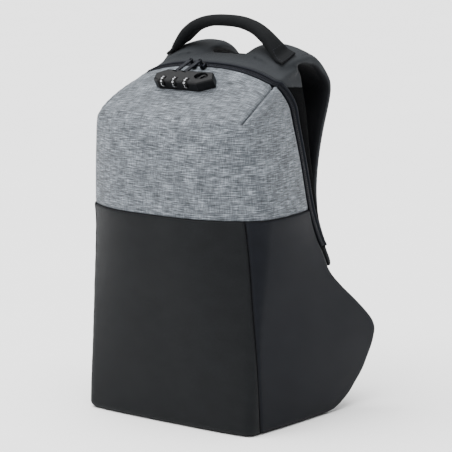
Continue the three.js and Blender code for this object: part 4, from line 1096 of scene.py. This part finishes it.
# Thread laid as short stitches along a line of points, lifted by its normals
def stitches(name, route, length, space, radius):
    path, lifts = (np.array(part) for part in zip(*route))
    marks = np.concatenate([[0], np.cumsum(np.linalg.norm(np.diff(path, axis=0), axis=1))])
    points, faces = [], []
    d, ringCount, sides = space, 5, 6
    while d + length < marks[-1]:
        start = len(points)
        for k in range(ringCount):
            m = d + length * k / (ringCount - 1)
            p = np.array([np.interp(m, marks, path[:, c]) for c in range(3)])
            up = unit([np.interp(m, marks, lifts[:, c]) for c in range(3)])
            q = np.array([np.interp(m + 0.1, marks, path[:, c]) for c in range(3)])
            tangent = unit(q - p)
            side = unit(np.cross(up, tangent))
            sink = -0.25 if k in (0, ringCount - 1) else 0.12
            for a in np.linspace(0, 2 * math.pi, sides, endpoint=False):
                points.append(p + up * (sink + radius * math.sin(a)) + side * radius * math.cos(a))
        for i in range(ringCount - 1):
            for j in range(sides):
                a, b = start + i * sides + j, start + i * sides + (j + 1) % sides
                faces.append((a, b, b + sides, a + sides))
        faces.append(tuple(start + j for j in range(sides))[::-1])
        faces.append(tuple(start + (ringCount - 1) * sides + j for j in range(sides)))
        d += length + space
    mesh = faceOut(rawMesh(name, points, faces))
    smooth(mesh)
    addFinish(newObject(name, mesh), seamThread)


# Box stitching on the tabs
tabStitch = {"from": 70, "edge": 3.5, "length": 2.6, "space": 1.3, "radius": 0.28}


def onTab(f, d):
    centre, _, across, out, band = f
    up = out if out[2] > 0 else -out
    return centre + across * d + up * (handle["band"] * band / 2), up


for side, sign in bothSides[::-1]:
    picks = [f for f in handleFrames if f[0][0] * sign > tabStitch["from"]]
    picks.sort(key=lambda f: abs(f[0][0]))
    reach = handle["width"] / 2 - tabStitch["edge"]
    route = [onTab(f, reach) for f in picks[:-1]]
    route += [onTab(picks[-2], d) for d in np.linspace(reach, -reach, 9)]
    route += [onTab(f, -reach) for f in picks[-2::-1]]
    route += [onTab(picks[0], d) for d in np.linspace(-reach, reach, 9)]
    stitches(f"tab_stitch_{side}", route, tabStitch["length"], tabStitch["space"], tabStitch["radius"])

# Two rows of thread down each strap's outer face, with a bar tack above the ladder lock
strapStitch = {"edge": 6.5, "above": 3, "first": 34, "length": 3.4, "space": 1.5, "radius": 0.34,
               "tack": 9, "tackHalf": 0.36}


def onStrap(f, away, sign):
    p = (f["centre"] + f["across"] * away + f["out"] * strapStitch["above"]) * [sign, 1, 1]
    _, spot, normal, _ = shoulders.closest_point_on_mesh(Vector(toMetres(p)))
    return toMillimetres(spot), np.array(normal)


for side, sign in bothSides:
    for row, way in (("outer", 1), ("inner", -1)):
        route = [onStrap(f, way * (f["width"] / 2 - strapStitch["edge"]), sign)
                 for f in strapFrames[strapStitch["first"]:-3]]
        stitches(f"strap_stitch_{row}_{side}", route, strapStitch["length"], strapStitch["space"],
                 strapStitch["radius"])
    f = strapFrames[-strapStitch["tack"]]
    half = strapStitch["tackHalf"]
    route = [onStrap(f, k * f["width"], sign) for k in np.linspace(-half, half, 9)]
    stitches(f"strap_tack_{side}", route, length=2.2, space=0.5, radius=0.45)
print("handle ready")

# Ladder locks' webbing down to the wings' inner faces
web = {"width": 25, "wall": 1.6, "buckle": (34, 6, 26)}
foot, before = strapFrame(len(strapRows) - 1), strapFrame(len(strapRows) - 2)
footWay = unit(foot["centre"] - before["centre"])
footAcross = unit(np.array([1, 0, 0]) - footWay * footWay[0])
footOut = np.cross(footAcross, footWay)
anchorLine = halfLine(shell["wingTip"] / split)
anchor = alongLine(anchorLine, np.array(anchorLine["length"] - web["width"] * 0.9))
anchorWay = unit(alongLine(anchorLine, np.array(anchorLine["length"])) - anchor)
anchorSide = np.array([anchorWay[1], -anchorWay[0], 0])
spot = foot["centre"] - footOut * foot["wall"] / 2 + footWay * shell["gap"]
begin = spot + footWay * (web["buckle"][2] + shell["gap"])
finish = anchor - anchorSide * (4 + shell["wingPad"] + shell["gap"] * 3 + web["wall"])
leave = begin + footWay * 34
arrive = finish - anchorWay * 6 + np.array([-10, -6, 26])
endAcross = -np.cross([0, 0, 1], anchorSide)
for side, sign in bothSides:
    rings = []
    for t in np.linspace(0, 1, 60):
        r = 1 - t
        c = r ** 3 * begin + 3 * t * r * r * leave + 3 * t * t * r * arrive + t ** 3 * finish
        tangent = unit(r * r * (leave - begin) + 2 * t * r * (arrive - leave) + t * t * (finish - arrive))
        across = mix(footAcross, endAcross, ease(t, 0.2, 1))
        across = unit(across - tangent * np.dot(across, tangent))
        ring = bandRing(c, across, np.cross(across, tangent), web["width"], web["wall"], 0, 0, 8, 6)
        rings.append([p * [sign, 1, 1] for p in ring])
    addFinish(loft(f"web_{side}", rings), webCloth, nodes=[f"strap_webbing_{side}"])
print("webbing ready")

# Hard parts that keep their own solids get worn edges and their finish
hardNodes = {
    "ladder_lock_left": lockPlastic, "ladder_lock_right": lockPlastic, "lock_body": lockPlastic,
    "release_button": lockPlastic, "dial_axle": zipMetal, "zip_pull_1": zipMetal, "zip_pull_2": zipMetal,
    "lock_dial_1": dialPlastic, "lock_dial_2": dialPlastic, "lock_dial_3": dialPlastic,
}
for name, material in hardNodes.items():
    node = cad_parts[name]
    node.data.materials.clear()
    node.data.materials.append(material)
    edge = node.modifiers.new("edges", "BEVEL")
    edge.width, edge.segments, edge.limit_method, edge.angle_limit = 0.0004, 3, "ANGLE", math.radians(35)
    edge.harden_normals = False

# Zip sliders: a low body astride the teeth and a neck up to the pull's eye
slider = {"across": (-16.6, -3.4), "lean": 0.3, "reach": 23.5, "tail": 8, "ahead": 1.8, "sides": 24,
          "neckFrom": 5}
# high, half wide, half long
sliderRows = [
    (0.5, 2.9, 3.9), (0.6, 3.3, 4.3), (1.1, 3.5, 4.5), (3.6, 3.5, 4.5), (4.5, 3.2, 4.1),
    (5.1, 2.4, 3.2), (5.6, 1.6, 2.4), (8.8, 1.25, 2.0), (9.8, 1.5, 2.3), (10.3, 1.2, 2.0),
]
lock = {"across": -2.5, "up": 66, "over": 0.4, "side": 11, "height": 12.5}
foldMiddle, topMiddle = section(2)[0], section(3)[0]
slopeWay = unit(topMiddle - foldMiddle)
lockPlace = foldMiddle + slopeWay * lock["up"]
lockPlace = lockPlace + [lock["across"], -slopeWay[2] * lock["over"], slopeWay[1] * lock["over"]]
lockTurn = Matrix.Rotation(math.atan2(slopeWay[2], slopeWay[1]), 4, "X")


def onLock(points):
    return [tuple(lockTurn @ Vector(p) + Vector(lockPlace)) for p in points]


for index, x in enumerate(slider["across"]):
    middleX = x + math.sin(slider["lean"]) * slider["reach"]
    middleY = slider["tail"] + math.cos(slider["lean"]) * slider["reach"]
    rings = []
    for z, wide, long in sliderRows:
        onBody = z < slider["neckFrom"]
        shift = slider["ahead"] if onBody else 0
        squareness = 0.62 if onBody else 0.9
        ring = []
        for a in np.linspace(0, 2 * math.pi, slider["sides"], endpoint=False):
            ca, sa = math.cos(a), math.sin(a)
            taper = 1 - 0.14 * sa if onBody else 1
            ring.append((middleX + math.copysign(abs(ca) ** squareness, ca) * wide * taper,
                         middleY + shift + math.copysign(abs(sa) ** squareness, sa) * long, z))
        rings.append(onLock(ring))
    addFinish(loft(f"slider_{index + 1}", rings), zipMetal, nodes=[f"zip_slider_{index + 1}"])

# Numerals round the dials, with grip ribs beside them
dial = {"radius": 5.6, "width": 7, "pitch": 16.8, "offset": -9.4, "proud": 1.4,
        "count": 10, "size": 4.6, "thick": 0.06, "wide": 1.15, "high": 0.72, "raise": 0.15, "firstTurn": 141,
        "ribs": 24, "ribEnds": (1.25, 0.25)}
# turn, height over the drum
ribSection = [(-0.07, -0.12), (-0.035, 0.15), (0.035, 0.15), (0.07, -0.12)]
ribFaces = [(0, 1, 5, 4), (1, 2, 6, 5), (2, 3, 7, 6), (3, 0, 4, 7), (3, 2, 1, 0), (4, 5, 6, 7)]
dialY = -lock["side"] + dial["radius"] - dial["proud"]
dialZ = lock["height"] - dial["radius"] + dial["proud"] * 0.6


# Flat mesh of one figure, centred on its own middle
def figureMesh(digit):
    curve = bpy.data.curves.new("digit", "FONT")
    curve.body, curve.size, curve.extrude = str(digit), dial["size"], dial["thick"]
    curve.align_x, curve.align_y = "CENTER", "CENTER"
    text = newObject("digit", curve)
    bpy.context.view_layer.update()
    shape = bpy.data.meshes.new_from_object(text.evaluated_get(bpy.context.evaluated_depsgraph_get()))
    points = np.array([v.co for v in shape.vertices])
    points[:, :2] -= (points[:, :2].min(axis=0) + points[:, :2].max(axis=0)) / 2
    faces = [tuple(f.vertices) for f in shape.polygons]
    bpy.data.objects.remove(text)
    bpy.data.meshes.remove(shape)
    return points, faces


for index in range(3):
    name, body = f"dial_numerals_{index + 1}", f"dial_{index + 1}"
    x = dial["offset"] + (index - 1) * dial["pitch"]
    # Both rings sit on the middle of the drum itself
    drumMiddle = toMillimetres(np.mean(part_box(f"lock_dial_{index + 1}"), axis=0))
    drumShift = drumMiddle - onLock([(x, dialY, dialZ)])[0]

    def onDrum(across, height, turn):
        r = dial["radius"] + height
        return onLock([(x + across, dialY + r * math.cos(turn), dialZ + r * math.sin(turn))])[0] + drumShift

    points, faces = [], []
    for digit in range(dial["count"]):
        turn = math.radians(dial["firstTurn"]) + digit * 2 * math.pi / dial["count"]
        figure, figureFaces = figureMesh(digit)
        faces += [tuple(len(points) + i for i in f) for f in figureFaces]
        points += [onDrum(a * dial["wide"], dial["raise"] + c, turn - b * dial["high"] / dial["radius"])
                   for a, b, c in figure]
    addFinish(newObject(name, rawMesh(name, points, faces)), numeralPaint, body=body)

    name = f"dial_ribs_{index + 1}"
    points, faces = [], []
    for edgeSide in (-1, 1):
        for a in np.linspace(0, 2 * math.pi, dial["ribs"], endpoint=False):
            faces += [tuple(len(points) + i for i in f) for f in ribFaces]
            points += [onDrum(edgeSide * (dial["width"] / 2 - inset), height, a + turn)
                       for inset in dial["ribEnds"] for turn, height in ribSection]
    addFinish(newObject(name, faceOut(rawMesh(name, points, faces))), dialPlastic, body=body)
print("lock ready")
